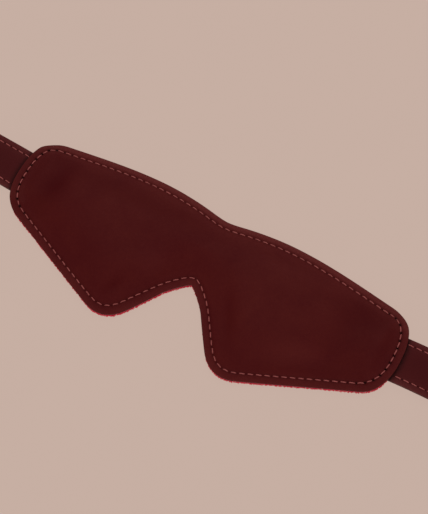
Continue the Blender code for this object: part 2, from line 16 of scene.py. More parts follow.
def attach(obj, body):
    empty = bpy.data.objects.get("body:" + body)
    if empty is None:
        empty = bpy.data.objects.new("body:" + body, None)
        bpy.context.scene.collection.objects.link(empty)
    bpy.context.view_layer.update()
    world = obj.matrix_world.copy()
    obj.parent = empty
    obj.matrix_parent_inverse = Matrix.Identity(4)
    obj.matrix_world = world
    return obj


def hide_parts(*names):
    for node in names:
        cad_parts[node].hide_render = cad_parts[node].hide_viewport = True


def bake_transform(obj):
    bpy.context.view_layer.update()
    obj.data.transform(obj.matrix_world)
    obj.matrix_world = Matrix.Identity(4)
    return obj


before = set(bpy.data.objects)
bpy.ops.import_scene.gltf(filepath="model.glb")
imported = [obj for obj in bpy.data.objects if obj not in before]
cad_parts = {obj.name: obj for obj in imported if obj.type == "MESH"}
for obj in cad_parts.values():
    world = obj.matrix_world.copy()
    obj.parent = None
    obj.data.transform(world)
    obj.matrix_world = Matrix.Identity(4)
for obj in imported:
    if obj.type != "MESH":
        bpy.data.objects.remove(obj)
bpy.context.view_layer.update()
MM = 0.001

# Right half of the mask's outline, from the brow dip clockwise to the nose notch:
# x, y, heading in degrees, handle length before, handle length after.
HALF_OUTLINE = [
    (0.0, 20.0, 0, 2.0, 2.0),
    (8.0, 21.0, 11, 2.5, 9.0),
    (38.0, 24.0, 0, 10.0, 20.0),
    (94.8, 18.3, -8, 17.5, 10.5),
    (110.0, -1.5, -87, 11.5, 12.5),
    (98.5, -28.9, -157, 11.0, 18.0),
    (43.5, -52.7, -157, 19.0, 5.0),
    (23.2, -47.8, -231, 12.0, 2.5),
    (11.8, -31.0, -237, 4.5, 6.5),
    (0.0, -19.1, -180, 0.5, 3.0),
]
OUTLINE_SPACING = 0.95
CURVE_POINTS = 48

# Layers of the mask, from the floor up.
PILE_ROOT = 1.6
LINING_TOP = 2.25
BORDER_UNDERSIDE = 2.42
LEATHER_THICK = 1.35
PAD_RISE = 5.0
PAD_START = 4.6
PAD_SOFTNESS = 7.0
PAD_FADE = 4.0
TAB_CLEARANCE = 0.25
SEAM_INSET = 4.0
STITCH_PITCH = 4.15
BORDER_RISE = 0.35
GROOVE_DEEP = 0.28
GROOVE_WIDE = 0.75
NEEDLE_DEEP = 0.55
NEEDLE_WIDE = 0.42
PUCKER_DEEP = 0.10
PUCKER_WIDE = 1.3
FRONT_ROUNDING = 0.42
FRONT_SPACING = 1.7
FRONT_RINGS = [0.06, 0.2, 0.45, 0.8, 1.4, 2.1, 2.8, 3.3, 3.65, 4.0, 4.35, 4.7, 5.2, 5.9, 6.8, 8.0]

# Towards the mask's two ends the stitches pull harder and their holes are wider, with more painted
# shade in them.
END_PULL_FROM = 86.0
END_PULL_REACH = 16.0
PULL_ALONG = 0.4
HOLE_SHADE_ALONG = 0.15
HOLE_WIDE_ALONG = 0.42
HOLE_WIDER_AT_END = 0.27

# The front's painted light and wear: painted shade in the seam and towards the ends, rubbing on the
# border, rubbing and a painted rim highlight on the cut edge, a painted highlight on the brow side,
# rubbing and a painted highlight on the raised folds, and painted shade in the dents.
SEAM_SHADE = 0.2
SEAM_SHADE_WIDE = 0.5
SHADE_DARK = 0.07
SHADE_MIDDLE = -6.0
SHADE_FROM = 72.0
SHADE_REACH = 22.0
BROW_FROM = 4.0
BROW_REACH = 8.0
BORDER_FROM = 1.7
BORDER_REACH = 1.8
BORDER_WORN = 0.17
BROW_BORDER_HIGHLIGHT = 0.6
CUT_EDGE_RUB_AND_HIGHLIGHT = 0.3
BESIDE_BROW_HIGHLIGHT = 0.26
BESIDE_BROW_REACH = 4.5
FOLD_RUB_AND_HIGHLIGHT = 0.3
DENT_SHADE = -0.4

# Beside the left of the nose the front's seam wanders further in.
WANDER_MIDDLE = (-23.0, -44.0)
WANDER_DEEP = 0.9
WANDER_REACH = 17.0

# Foam and lining.
FOAM_EDGE = 7.0
FOAM_ROOM = 0.9
LINING_INSET = 0.5
LINING_THICK = 0.65
NAP = (0.31, -0.62)
NAP_SPREAD = 0.16
TUFT_SPACING = 1.12
TUFT_HALF = 0.56
FIELD_EDGE = 1.9
FRINGE_HALF = 0.4
# Rows of finer tufts near the edge: how far in, and how far apart.
FRINGE_ROWS = [(0.55, 0.68), (1.0, 0.74), (1.5, 0.85)]

# The swelling, from a cloth simulation of a copy made larger by SWELL_GROW.
SWELL_GROW = 20.0
SWELL_FRAMES = 20
SWELL_START = 0.96
SWELL_FROM = 8.0
SWELL_CAP = 0.8
SWELL_EVENED = 2.6
SWELL_CLOTH = {
    "quality": 6,
    "mass": 0.02,
    "tension_stiffness": 12.0,
    "compression_stiffness": 12.0,
    "shear_stiffness": 4.0,
    "bending_stiffness": 0.4,
    "use_pressure": True,
    "uniform_pressure_force": 4.0,
}

# Soft dents in the padded front: x, y, reach along, reach across, turn in degrees, depth.
# A depth below zero is a raised fold.
DENTS = [
    (-89.0, -4.0, 13.0, 6.0, 82, 1.5),
    (-99.0, -6.0, 9.0, 3.6, 86, -0.3),
    (-95.0, -8.0, 20.0, 17.0, 90, 0.5),
    (82.0, 0.0, 17.0, 11.0, 62, 0.75),
    (96.0, 0.0, 9.0, 3.4, 88, -0.35),
    (-34.0, -39.0, 6.5, 2.8, 66, 1.2),
    (-23.0, -19.0, 9.0, 7.0, 40, -0.5),
    (25.0, -27.0, 14.0, 3.2, -62, 0.9),
    (-43.0, 9.0, 24.0, 4.5, 6, 0.55),
    (37.0, 10.0, 28.0, 4.6, 4, -0.45),
    (67.0, -37.0, 22.0, 3.6, 24, 0.75),
    (63.0, -27.0, 18.0, 5.0, 24, -0.55),
    (-12.0, -21.0, 9.0, 3.6, 57, 0.4),
]

# Straps.
STRAP_HALF = 12.0
STRAP_THICK = 2.4
PLY_THICK = 1.16
PLY_INNER = STRAP_THICK / 2 - PLY_THICK
STRAP_EXIT_X = 110.0
HOLE_STRAP_EXIT_Y = -5.0
BUCKLE_STRAP_EXIT_Y = -6.1
STRAP_RISE_DEG = 3.4
STRAP_SEAM_INSET = 3.1
ACROSS_PLACES = [0.05, 0.16, 0.36, 0.7, 1.3, 2.1, 2.8, 3.1, 3.4, 4.2, 6.0, 8.0, 10.0]
TAB_LENGTH = 8.0
TAB_MARGIN = 3.5
TAB_FADE = 7.0
TAB_MID_Z = 3.7
FIRST_BEND = 2.4
DROP_LENGTH = 38.0
FOLD_REACH = 2.1
BEND_REACH = 9.0
STRAP_RINGS = [0.05, 0.16, 0.36, 0.7]
STRAP_SPACING = 2.1
PLY_ROUNDING = 0.36
EDGE_RUBBED_DEEP = 0.1
EDGE_RUBBED_REACH = 1.5
STRAP_GROOVE_DEEP = 0.16
STRAP_NEEDLE_DEEP = 0.3
STRAP_NEEDLE_WIDE = 0.36

HOLE_STRAP_MID_Z = STRAP_THICK / 2
HOLE_STRAP_BENDS = [FIRST_BEND, 75.0, 150.0, 225.0]
HOLE_STRAP_SPLITS = [-TAB_LENGTH, 38.0, 112.5, 177.0, 300.0]
HOLE_STRAP_LENGTH = 300.0
TIP_LENGTH = 17.0
HOLE_RADIUS = 2.0
FIRST_HOLE = 165.0
HOLE_PITCH = 24.0
HOLE_COUNT = 5

BUCKLE_STRAP_MID_Z = 2.75
BUCKLE_STRAP_SPLITS = [-TAB_LENGTH, 31.0, 78.0]
BUCKLE_STRAP_BENDS = [FIRST_BEND, 60.0]
BAR_AT = 140.0
WRAP_INNER = 1.58
TURNBACK_END = 101.0
SLOT_START = 129.0
SLOT_HALF = 2.2
CLIMB_LENGTH = 9.0
BACKING_END = TURNBACK_END - 0.15
RIVET_PLACES = [107.0, 124.0]
# Rivet profiles: radius, and height above the strap's face or above its back.
CAP_PROFILE = [
    (1.3, -0.4), (1.3, -0.02), (3.2, -0.02), (3.38, 0.12), (3.4, 0.4), (3.3, 0.62),
    (3.0, 0.9), (2.5, 1.22), (1.9, 1.48), (1.2, 1.66), (0.6, 1.76), (0.0, 1.8),
]
FOOT_PROFILE = [
    (0.0, -0.75), (0.5, -0.7), (0.9, -0.95), (2.9, -0.95), (3.3, -0.8), (3.4, -0.5),
    (3.35, 0.02), (1.3, 0.02), (1.3, 1.6), (0.0, 1.6),
]

# Buckle and keepers.
WIRE_RADIUS = 1.4
TOE_FLATTER = 0.14
FRAME_HALF = 14.1
FRAME_LENGTH = 17.5
FRAME_CORNER = 4.0
BAR_CORNER = 2.6
PRONG_HALF = 1.5
PRONG_THICK = 1.1
PRONG_REACH = 19.0
PRONG_ROOM = 0.3
KEEPER_WIDE = 8.0
KEEPER_THICK = 1.15
KEEPER_SIDE_ROOM = 0.6
KEEPER_TOP_ROOM = 3.1
KEEPER_UNDER_ROOM = 0.3
KEEPER_END_GAP = 0.15
KEEPER_CORNER = 0.8
KEEPER_CREASE_AT = 1.15
KEEPER_CREASE_DEEP = 0.13
FIXED_KEEPER_AT = 115.5
SLIDING_KEEPER_AT = 94.0

# Stitches: strands' half width, rise above the leather and how far the ends sink into it.
STITCH_TURNS = 2.2
STITCH_STATIONS = 9
STITCH_SIDES = 8
STITCH_SLANT = 0.11
EDGE_STITCH = {"wide": 0.31, "lift": 0.26, "sink": 0.82}
STRAP_STITCH = {"wide": 0.27, "lift": 0.12, "sink": 0.65}

# Finishes.
BURGUNDY = (0.076, 0.0075, 0.0060)
BURGUNDY_DEEP = (0.053, 0.0033, 0.0042)
# The paler colour of rubbed leather, also used for the front's painted highlights.
BURGUNDY_RUBBED_AND_LIT = (0.118, 0.020, 0.018)
STRAP_BURGUNDY = (0.062, 0.0068, 0.0070)
STRAP_DEEP = (0.048, 0.0048, 0.0054)
STRAP_WORN = (0.125, 0.03, 0.028)
EDGE_DYE = (0.075, 0.014, 0.014)
# Painted shade: the near-black that shaded places are mixed towards, and the deep red painted into
# the dents.
SHADE_BLACK = (0.006, 0.001, 0.001)
HOLLOW_SHADE_RED = (0.045, 0.0008, 0.0016)
EDGE_WEAR = 0.6
EDGE_WEAR_REACH = 1.9
THREAD_RED = (0.35, 0.088, 0.08)
THREAD_DARK = (0.18, 0.04, 0.037)
CRIMSON = (0.78, 0.03, 0.075)
CRIMSON_DEEP = (0.42, 0.008, 0.026)
CRIMSON_SHADE = (0.07, 0.002, 0.006)
FOAM_GREY = (0.35, 0.34, 0.33)
FOAM_DEEP = (0.2, 0.19, 0.18)
BRASS = (0.72, 0.50, 0.21)
BRASS_DULL = (0.42, 0.27, 0.11)
FLOOR_COLOUR = (0.576, 0.433, 0.370)
FLOOR_GLOW = 0.95
FLOOR_REACH = 3000.0
FLOOR_DROP = 0.05

# Camera.
VIEW_AZIMUTH = 28.37
VIEW_ELEVATION = 68.68
VIEW_AIM = (2.62, 0.16, 2.0)
VIEW_DISTANCE = 549.5
VIEW_LENS = 74.9


# ---------------------------------------------------------------- lines and flat cuts


def unit(rows):
    """Each row made one long."""
    return rows / np.linalg.norm(rows, axis=1)[:, None]


def bell(away, reach):
    """1 where away is zero, and next to nothing past twice the reach."""
    return np.exp(-((away / reach) ** 2))


def smooth_step(share):
    """0 up to a share of 0, 1 past a share of 1, and a smooth rise between."""
    share = np.clip(share, 0.0, 1.0)
    return share * share * (3 - 2 * share)


def run_along(line):
    """How far each point lies along the line."""
    steps = np.linalg.norm(np.diff(line, axis=0), axis=1)
    return np.concatenate([[0.0], np.cumsum(steps)])


def respaced(points, spacing, closed):
    """The same line with its points an even distance apart."""
    points = np.asarray(points, float)
    if closed:
        points = np.vstack([points, points[:1]])
    run = run_along(points)
    count = max(1, round(run[-1] / spacing))
    places = np.linspace(0.0, run[-1], count + 1)
    if closed:
        places = places[:-1]
    return np.column_stack([np.interp(places, run, column) for column in points.T])


def beside(line, closed, depth):
    """The line moved to its left by depth."""
    if closed:
        along = np.roll(line, -1, axis=0) - np.roll(line, 1, axis=0)
    else:
        along = np.gradient(line, axis=0)
    along = unit(along)
    return line + np.column_stack([-along[:, 1], along[:, 0]]) * depth


def batches(places):
    """The places in batches that are small enough to compare with every point of a line."""
    return [slice(first, first + 2000) for first in range(0, len(places), 2000)]


def distance_to(places, edges):
    """How far each flat place lies from the nearest edge. Each edge is (points, closed)."""
    nearest = np.full(len(places), 1e9)
    for line, closed in edges:
        starts = line if closed else line[:-1]
        along = (np.roll(line, -1, axis=0) if closed else line[1:]) - starts
        square = (along**2).sum(axis=1)
        for batch in batches(places):
            away = places[batch, None] - starts[None]
            share = np.clip((away * along).sum(axis=2) / square, 0.0, 1.0)
            gap = np.linalg.norm(away - share[..., None] * along, axis=2).min(axis=1)
            nearest[batch] = np.minimum(nearest[batch], gap)
    return nearest


def nearest_gap(places, points):
    """How far each place lies from the nearest of the points."""
    found = np.empty(len(places))
    for batch in batches(places):
        square = ((places[batch, None] - points[None]) ** 2).sum(axis=2)
        found[batch] = np.sqrt(square.min(axis=1))
    return found


def lies_inside(places, loop):
    """Which flat places lie inside a closed loop."""
    x = places[:, 0:1]
    y = places[:, 1:2]
    ahead = np.roll(loop, -1, axis=0)
    crosses = (loop[:, 1] > y) != (ahead[:, 1] > y)
    rise = np.where(ahead[:, 1] == loop[:, 1], 1.0, ahead[:, 1] - loop[:, 1])
    reach = (ahead[:, 0] - loop[:, 0]) * (y - loop[:, 1]) / rise + loop[:, 0]
    return (crosses & (x < reach)).sum(axis=1) % 2 == 1


def even_fill(outline, spacing):
    """Places in a triangular pattern over the outline's box."""
    low = outline.min(axis=0)
    high = outline.max(axis=0)
    rows = []
    for number, y in enumerate(np.arange(low[1], high[1], spacing * math.sqrt(0.75))):
        x = np.arange(low[0] + (number % 2) * spacing / 2, high[0], spacing)
        rows.append(np.column_stack([x, np.full(len(x), y)]))
    return np.vstack(rows)


def flat_cut(outline, edges, holes, rings, spacing, extra=()):
    """Places and triangles of a flat cut piece, with rings of places beside its cut edges."""
    seeds = [outline] + holes
    for line, closed in edges:
        for depth in rings:
            ring = beside(line, closed, depth)
            seeds.append(ring[distance_to(ring, edges) > depth - 0.04])
    seeds += list(extra)
    fill = even_fill(outline, spacing)
    seeds.append(fill[distance_to(fill, edges) > max(rings) + 0.6 * spacing])
    fixed = sum(len(loop) for loop in seeds[: 1 + len(holes)])
    places = np.vstack(seeds)
    inner = places[fixed:]
    clear = lies_inside(inner, outline) & (distance_to(inner, [(outline, True)]) > 0.03)
    places = np.vstack([places[:fixed], inner[clear]])
    borders = []
    first = 0
    for loop in seeds[: 1 + len(holes)]:
        borders += [(first + i, first + (i + 1) % len(loop)) for i in range(len(loop))]
        first += len(loop)
    cut = delaunay_2d_cdt([Vector(p) for p in places], borders, [], 0, 1e-5)
    flat = np.array([tuple(p) for p in cut[0]])
    faces = np.array([f for f in cut[2] if len(f) == 3])
    centres = flat[faces].mean(axis=1)
    kept = lies_inside(centres, outline)
    for hole in holes:
        kept &= ~lies_inside(centres, hole)
    faces = faces[kept]
    used = np.unique(faces)
    fresh = np.full(len(flat), -1)
    fresh[used] = np.arange(len(used))
    return flat[used], fresh[faces]


def add_object(name, data):
    """An object in the scene that holds a mesh, a lamp or a camera."""
    made = bpy.data.objects.new(name, data)
    bpy.context.scene.collection.objects.link(made)
    return made


def mesh_of(name, points, faces, finishes=()):
    """A mesh whose points are in metres."""
    mesh = bpy.data.meshes.new(name)
    mesh.from_pydata(points.tolist(), [], faces)
    for finish in finishes:
        mesh.materials.append(finish)
    return mesh


def new_piece(name, points, faces, finishes):
    """An object made of points in millimetres. The first finish is the whole piece's own."""
    mesh = mesh_of(name, np.asarray(points) * MM, faces, finishes)
    mesh.validate()
    made = add_object(name, mesh)
    return made


def tube_faces(first, sides, count, closed=False):
    """Faces between rings of points that follow each other, with so many points a ring."""
    faces = []
    for i in range(count if closed else count - 1):
        here = first + sides * i
        there = first + sides * ((i + 1) % count)
        for k in range(sides):
            n = (k + 1) % sides
            faces.append((here + k, here + n, there + n, there + k))
    return faces


def closed_faces(faces, count):
    """The upper and lower skins of a closed sheet, and the walls round its edges."""
    upper = [tuple(int(i) for i in f) for f in faces]
    lower = [(c + count, b + count, a + count) for a, b, c in upper]
    sides = {(f[i], f[(i + 1) % 3]) for f in upper for i in range(3)}
    rim = sorted((a, b) for a, b in sides if (b, a) not in sides)
    return upper + lower, [(b, a, a + count, b + count) for a, b in rim]


def note(piece, name, kind, values):
    """Writes a value for each point of the piece, for its material to read."""
    attribute = piece.data.attributes.new(name, kind, "POINT")
    word = "vector" if kind == "FLOAT_VECTOR" else "value"
    attribute.data.foreach_set(word, np.asarray(values, np.float32).ravel())


def laid_sheet(name, cut, lay, top, under, depth, rounding, painted_shade, finishes, wear_and_light=None):
    """A closed sheet laid between two heights, with its cut edges rounded over.

    The darkening value of each place, from 0 to 1, is painted shade: in needle holes, along seams,
    in creases and under overhanging edges.
    The rubbing value of each place is how much it is rubbed or painted lighter as a highlight above
    zero, and how much painted shade it gets in a hollow below zero; along the cut edges it is
    rubbing if it isn't given.
    A plain number given as a height or as the darkening value is the same all over.
    """
    if wear_and_light is None:
        wear_and_light = EDGE_WEAR * np.exp(-depth / EDGE_WEAR_REACH)
    top, under, painted_shade = (np.broadcast_to(value, depth.shape) for value in (top, under, painted_shade))
    flat, faces = cut
    near = np.clip(rounding - depth, 0.0, None)
    drop = rounding - np.sqrt(np.clip(rounding**2 - near**2, 0.0, None))
    upper = lay(flat, top - drop)
    lower = lay(flat, under + drop)
    skins, walls = closed_faces(faces, len(flat))
    piece = new_piece(name, np.vstack([upper, lower]), skins + walls, finishes)
    mesh = piece.data
    if len(finishes) > 1:
        mesh.polygons.foreach_set("material_index", [0] * len(skins) + [1] * len(walls))
    mesh.shade_smooth()
    mesh.set_sharp_from_angle(angle=math.radians(55))
    hide = np.column_stack([np.vstack([flat, flat]), np.concatenate([top, under])])
    note(piece, "hide", "FLOAT_VECTOR", hide)
    note(piece, "wear_and_light", "FLOAT", np.tile(wear_and_light, 2))
    note(piece, "painted_shade", "FLOAT", np.tile(painted_shade, 2))
    return piece


# ---------------------------------------------------------------- finishes


def feed(tree, socket, value):
    """Joins another node's output to the socket, or sets the socket to a plain value."""
    if isinstance(value, bpy.types.NodeSocket):
        tree.links.new(value, socket)
    else:
        socket.default_value = value


def fill(tree, node, **inputs):
    """Feeds several of a node's inputs, with _ for each space in a socket's name."""
    for word, value in inputs.items():
        feed(tree, node.inputs[word.replace("_", " ")], value)


def put(tree, kind, settings=None, **inputs):
    """Adds a node with its settings and its inputs."""
    made = tree.nodes.new(kind)
    for word, value in (settings or {}).items():
        setattr(made, word, value)
    fill(tree, made, **inputs)
    return made


def maths(tree, operation, first, second=0.0, third=0.0, clamp=False):
    """One sum on numbers or on other nodes' outputs."""
    made = put(tree, "ShaderNodeMath", {"operation": operation, "use_clamp": clamp})
    for socket, value in zip(made.inputs, (first, second, third)):
        feed(tree, socket, value)
    return made.outputs[0]


def rescale(tree, value, from_low, from_high, to_low, to_high):
    """The value moved from one range to another and kept inside it."""
    made = tree.nodes.new("ShaderNodeMapRange")
    for socket, number in zip(made.inputs, (value, from_low, from_high, to_low, to_high)):
        feed(tree, socket, number)
    return made.outputs[0]


def tint(tree, share, first, second):
    """Colour between two colours."""
    made = put(tree, "ShaderNodeMix", {"data_type": "RGBA", "clamp_factor": True})
    for socket, value in ((0, share), (6, first), (7, second)):
        if isinstance(value, tuple):
            value = (*value, 1.0)
        feed(tree, made.inputs[socket], value)
    return made.outputs[2]


def effect(name, inputs, outputs):
    """An empty node group with a vector input called Place, number inputs and number outputs."""
    group = bpy.data.node_groups.new(name, "ShaderNodeTree")
    side = group.interface
    side.new_socket(name="Place", in_out="INPUT", socket_type="NodeSocketVector")
    for word, value in inputs.items():
        socket = side.new_socket(name=word, in_out="INPUT", socket_type="NodeSocketFloat")
        socket.default_value = value
    for word in outputs:
        side.new_socket(name=word, in_out="OUTPUT", socket_type="NodeSocketFloat")
    given = group.nodes.new("NodeGroupInput")
    result = group.nodes.new("NodeGroupOutput")
    return group, given.outputs, result.inputs


def noise(tree, place, scale, detail=3.0, roughness=0.55, distortion=0.0):
    """Soft random clouds, from 0 to 1."""
    made = put(tree, "ShaderNodeTexNoise", Vector=place, Scale=scale, Detail=detail)
    fill(tree, made, Roughness=roughness, Distortion=distortion)
    return made.outputs["Fac"]


def make_grain():
    """Pebbled leather grain. Place is in millimetres. Pebble is a pebble's width."""
    numbers = {"Pebble": 0.7, "Softness": 0.5}
    tree, given, result = effect("leather_grain", numbers, ["Height", "Crease"])
    warp = put(tree, "ShaderNodeTexNoise", Vector=given["Place"], Scale=0.9, Detail=2.0)
    push = put(tree, "ShaderNodeVectorMath", {"operation": "MULTIPLY_ADD"})
    for socket, value in zip(push.inputs, (warp.outputs["Color"], (0.5, 0.5, 0.5), given["Place"])):
        feed(tree, socket, value)
    pores = put(tree, "ShaderNodeTexVoronoi", {"feature": "DISTANCE_TO_EDGE"}, Randomness=0.9)
    fill(tree, pores, Vector=push.outputs[0], Scale=maths(tree, "DIVIDE", 1.0, given["Pebble"]))
    domes = rescale(tree, pores.outputs["Distance"], 0.0, given["Softness"], 0.0, 1.0)
    rounded = maths(tree, "POWER", domes, 0.55)
    hair = noise(tree, given["Place"], 5.5, 3.0, 0.6)
    swell = noise(tree, given["Place"], 0.22, 2.0)
    height = maths(tree, "MULTIPLY_ADD", hair, 0.35, rounded)
    tree.links.new(maths(tree, "MULTIPLY_ADD", swell, 0.5, height), result["Height"])
    tree.links.new(maths(tree, "SUBTRACT", 1.0, domes, clamp=True), result["Crease"])
    return tree


def make_mottle():
    """Uneven dye: broad clouds with small flecks in them, from 0 to 1."""
    tree, given, result = effect("mottled_dye", {"Cloud": 18.0, "Fleck": 1.6}, ["Tone"])
    broad = noise(tree, given["Place"], maths(tree, "DIVIDE", 1.0, given["Cloud"]), 3.0, 0.5, 0.4)
    fine = noise(tree, given["Place"], maths(tree, "DIVIDE", 1.0, given["Fleck"]), 4.0, 0.65)
    both = maths(tree, "MULTIPLY_ADD", fine, 0.4, maths(tree, "MULTIPLY", broad, 0.6))
    tree.links.new(rescale(tree, both, 0.3, 0.7, 0.0, 1.0), result["Tone"])
    return tree


def make_scuffs():
    """Fine rubbed scratches that run mostly one way, from 0 to 1."""
    tree, given, result = effect("fine_scuffs", {"Density": 1.0, "Cover": 0.5}, ["Mask"])
    stretch = put(tree, "ShaderNodeMapping", Vector=given["Place"])
    fill(tree, stretch, Rotation=(0.0, 0.0, 0.5), Scale=(0.12, 1.0, 1.0))
    close = maths(tree, "MULTIPLY", given["Density"], 4.0)
    lines = noise(tree, stretch.outputs[0], close, 6.0, 0.7)
    patches = noise(tree, given["Place"], 0.12, 2.0)
    thin = rescale(tree, lines, 0.58, 0.72, 0.0, 1.0)
    bare = maths(tree, "SUBTRACT", 0.75, maths(tree, "MULTIPLY", given["Cover"], 0.4))
    where = rescale(tree, patches, bare, 0.8, 0.0, 1.0)
    tree.links.new(maths(tree, "MULTIPLY", thin, where), result["Mask"])
    return tree


def make_fibres():
    """Short soft fibres, for thread, pile, cloth and foam."""
    tree, given, result = effect("soft_fibres", {"Fibre": 0.2}, ["Height", "Tone"])
    fine = noise(tree, given["Place"], maths(tree, "DIVIDE", 1.0, given["Fibre"]), 4.0, 0.7, 0.6)
    broad = noise(tree, given["Place"], 0.35, 3.0, 0.6)
    tree.links.new(fine, result["Height"])
    tone = maths(tree, "MULTIPLY_ADD", broad, 0.5, maths(tree, "MULTIPLY", fine, 0.5))
    tree.links.new(rescale(tree, tone, 0.3, 0.7, 0.0, 1.0), result["Tone"])
    return tree


def make_wear_and_light():
    """Where leather is rubbed or painted lighter as a highlight, where a hollow gets painted shade,
    and where other painted shade darkens it, from 0 to 1.

    The rubbing input is above zero where the leather is rubbed or carries a painted highlight, and
    below it in a hollow, which gets painted shade. The darkening input is painted shade.
    """
    numbers = {"Worn": 0.0, "Marks": 0.0}
    tree, given, result = effect("wear_and_painted_light", numbers, ["Rubbed", "Hollow_shade", "Deep_shade"])
    patches = rescale(tree, noise(tree, given["Place"], 0.8, 3.0, 0.6), 0.3, 0.6, 0.5, 1.0)
    tree.links.new(maths(tree, "MULTIPLY", given["Worn"], patches), result["Rubbed"])
    tree.links.new(maths(tree, "MULTIPLY", given["Worn"], -1.0, clamp=True), result["Hollow_shade"])
    tree.links.new(maths(tree, "MULTIPLY", given["Marks"], 0.85), result["Deep_shade"])
    return tree


GRAIN = make_grain()
MOTTLE = make_mottle()
SCUFFS = make_scuffs()
FIBRES = make_fibres()
WEAR_AND_LIGHT = make_wear_and_light()


def new_finish(name):
    """A new material, its nodes and its shader."""
    finish = bpy.data.materials.new(name)
    finish.use_nodes = True
    return finish, finish.node_tree, finish.node_tree.nodes["Principled BSDF"]


def use(tree, group, place, **inputs):
    """One of the shared effects, placed in a material with its own values."""
    made = tree.nodes.new("ShaderNodeGroup")
    made.node_tree = group
    tree.links.new(place, made.inputs["Place"])
    for word, value in inputs.items():
        feed(tree, made.inputs[word], value)
    return made.outputs


def noted(tree, name):
    """A value or place that was written on the piece's points."""
    made = tree.nodes.new("ShaderNodeAttribute")
    made.attribute_name = name
    return made.outputs


def own_place(tree):
    """The piece's own coordinates, in millimetres."""
    coordinates = tree.nodes.new("ShaderNodeTexCoord")
    scaled = put(tree, "ShaderNodeVectorMath", {"operation": "SCALE"}, Scale=1.0 / MM)
    tree.links.new(coordinates.outputs["Object"], scaled.inputs[0])
    return scaled.outputs[0]


def bump(tree, shader, height, distance):
    """Raises the surface by up to a distance in millimetres."""
    made = put(tree, "ShaderNodeBump", Strength=1.0, Distance=distance * MM, Height=height)
    tree.links.new(made.outputs["Normal"], shader.inputs["Normal"])


def leather(name, face, deep, wear_and_light, pebble, relief, smooth, rough):
    """Dyed grain leather: paler where it is rubbed or carries a painted highlight, with painted
    shade in its hollows, needle holes, seams and creases.

    pebble is a pebble's width in millimetres and relief is how high the grain stands.
    """
    finish, tree, shader = new_finish(name)
    hide = noted(tree, "hide")["Vector"]
    grain = use(tree, GRAIN, hide, Pebble=pebble, Softness=0.32)
    dye = use(tree, MOTTLE, hide, Cloud=21.0, Fleck=1.3)
    scuffs = use(tree, SCUFFS, hide, Density=1.2, Cover=0.5)
    rubbing_and_painted_light = use(tree, WEAR_AND_LIGHT, hide, Worn=noted(tree, "wear_and_light")["Fac"], Marks=noted(tree, "painted_shade")["Fac"])
    colour = tint(tree, dye["Tone"], deep, face)
    colour = tint(tree, maths(tree, "MULTIPLY", grain["Crease"], 0.45), colour, deep)
    colour = tint(tree, maths(tree, "MULTIPLY", scuffs["Mask"], 0.3), colour, wear_and_light)
    # Rubbing and the painted highlight make it paler, then painted shade darkens the hollows and
    # the other shaded places.
    colour = tint(tree, rubbing_and_painted_light["Rubbed"], colour, wear_and_light)
    colour = tint(tree, rubbing_and_painted_light["Hollow_shade"], colour, HOLLOW_SHADE_RED)
    colour = tint(tree, rubbing_and_painted_light["Deep_shade"], colour, SHADE_BLACK)
    sheen = rescale(tree, dye["Tone"], 0.0, 1.0, rough, smooth)
    dull = maths(tree, "MULTIPLY_ADD", scuffs["Mask"], 0.12, sheen)
    dull = maths(tree, "MULTIPLY_ADD", grain["Crease"], 0.1, dull, clamp=True)
    fill(tree, shader, Base_Color=colour, Roughness=dull, Specular_IOR_Level=0.04)
    bump(tree, shader, maths(tree, "MULTIPLY_ADD", scuffs["Mask"], -0.25, grain["Height"]), relief)
    return finish


def dyed_edge(name):
    """The burnished cut edge of the leather, with its layers just showing."""
    finish, tree, shader = new_finish(name)
    hide = noted(tree, "hide")["Vector"]
    streak = put(tree, "ShaderNodeMapping", Vector=hide, Scale=(0.5, 0.5, 6.0))
    layers = use(tree, FIBRES, streak.outputs[0], Fibre=0.6)
    colour = tint(tree, layers["Tone"], STRAP_DEEP, EDGE_DYE)
    rough = rescale(tree, layers["Tone"], 0.0, 1.0, 0.62, 0.4)
    fill(tree, shader, Base_Color=colour, Roughness=rough)
    bump(tree, shader, layers["Height"], 0.08)
    return finish


def soft_cloth(name, light, dark, fibre, relief, sheen):
    """Thread, pile and backing: soft fibres with a little sheen."""
    finish, tree, shader = new_finish(name)
    place = own_place(tree)
    fibres = use(tree, FIBRES, place, Fibre=fibre)
    cloud = use(tree, MOTTLE, place, Cloud=9.0, Fleck=0.9)
    tone = maths(tree, "MULTIPLY", fibres["Tone"], 0.5)
    tone = maths(tree, "MULTIPLY_ADD", cloud["Tone"], 0.5, tone)
    fill(tree, shader, Base_Color=tint(tree, tone, dark, light))
    fill(tree, shader, Roughness=rescale(tree, fibres["Tone"], 0.0, 1.0, 0.92, 0.7))
    fill(tree, shader, Sheen_Weight=sheen, Sheen_Roughness=0.45, Sheen_Tint=(*light, 1.0))
    fill(tree, shader, Specular_IOR_Level=0.2)
    bump(tree, shader, fibres["Height"], relief)
    return finish


def worn_brass(name):
    """Pale polished brass, duller in patches and finely scratched."""
    finish, tree, shader = new_finish(name)
    place = own_place(tree)
    tarnish = use(tree, MOTTLE, place, Cloud=3.5, Fleck=0.5)
    scuffs = use(tree, SCUFFS, place, Density=2.2, Cover=1.0)
    dull = maths(tree, "MULTIPLY", rescale(tree, tarnish["Tone"], 0.45, 1.0, 0.0, 1.0), 0.5)
    rough = maths(tree, "MULTIPLY_ADD", dull, 0.35, 0.2)
    rough = maths(tree, "MULTIPLY_ADD", scuffs["Mask"], 0.25, rough)
    colour = tint(tree, dull, BRASS, BRASS_DULL)
    fill(tree, shader, Base_Color=colour, Metallic=1.0, Roughness=rough)
    bump(tree, shader, maths(tree, "MULTIPLY", scuffs["Mask"], -1.0), 0.015)
    return finish


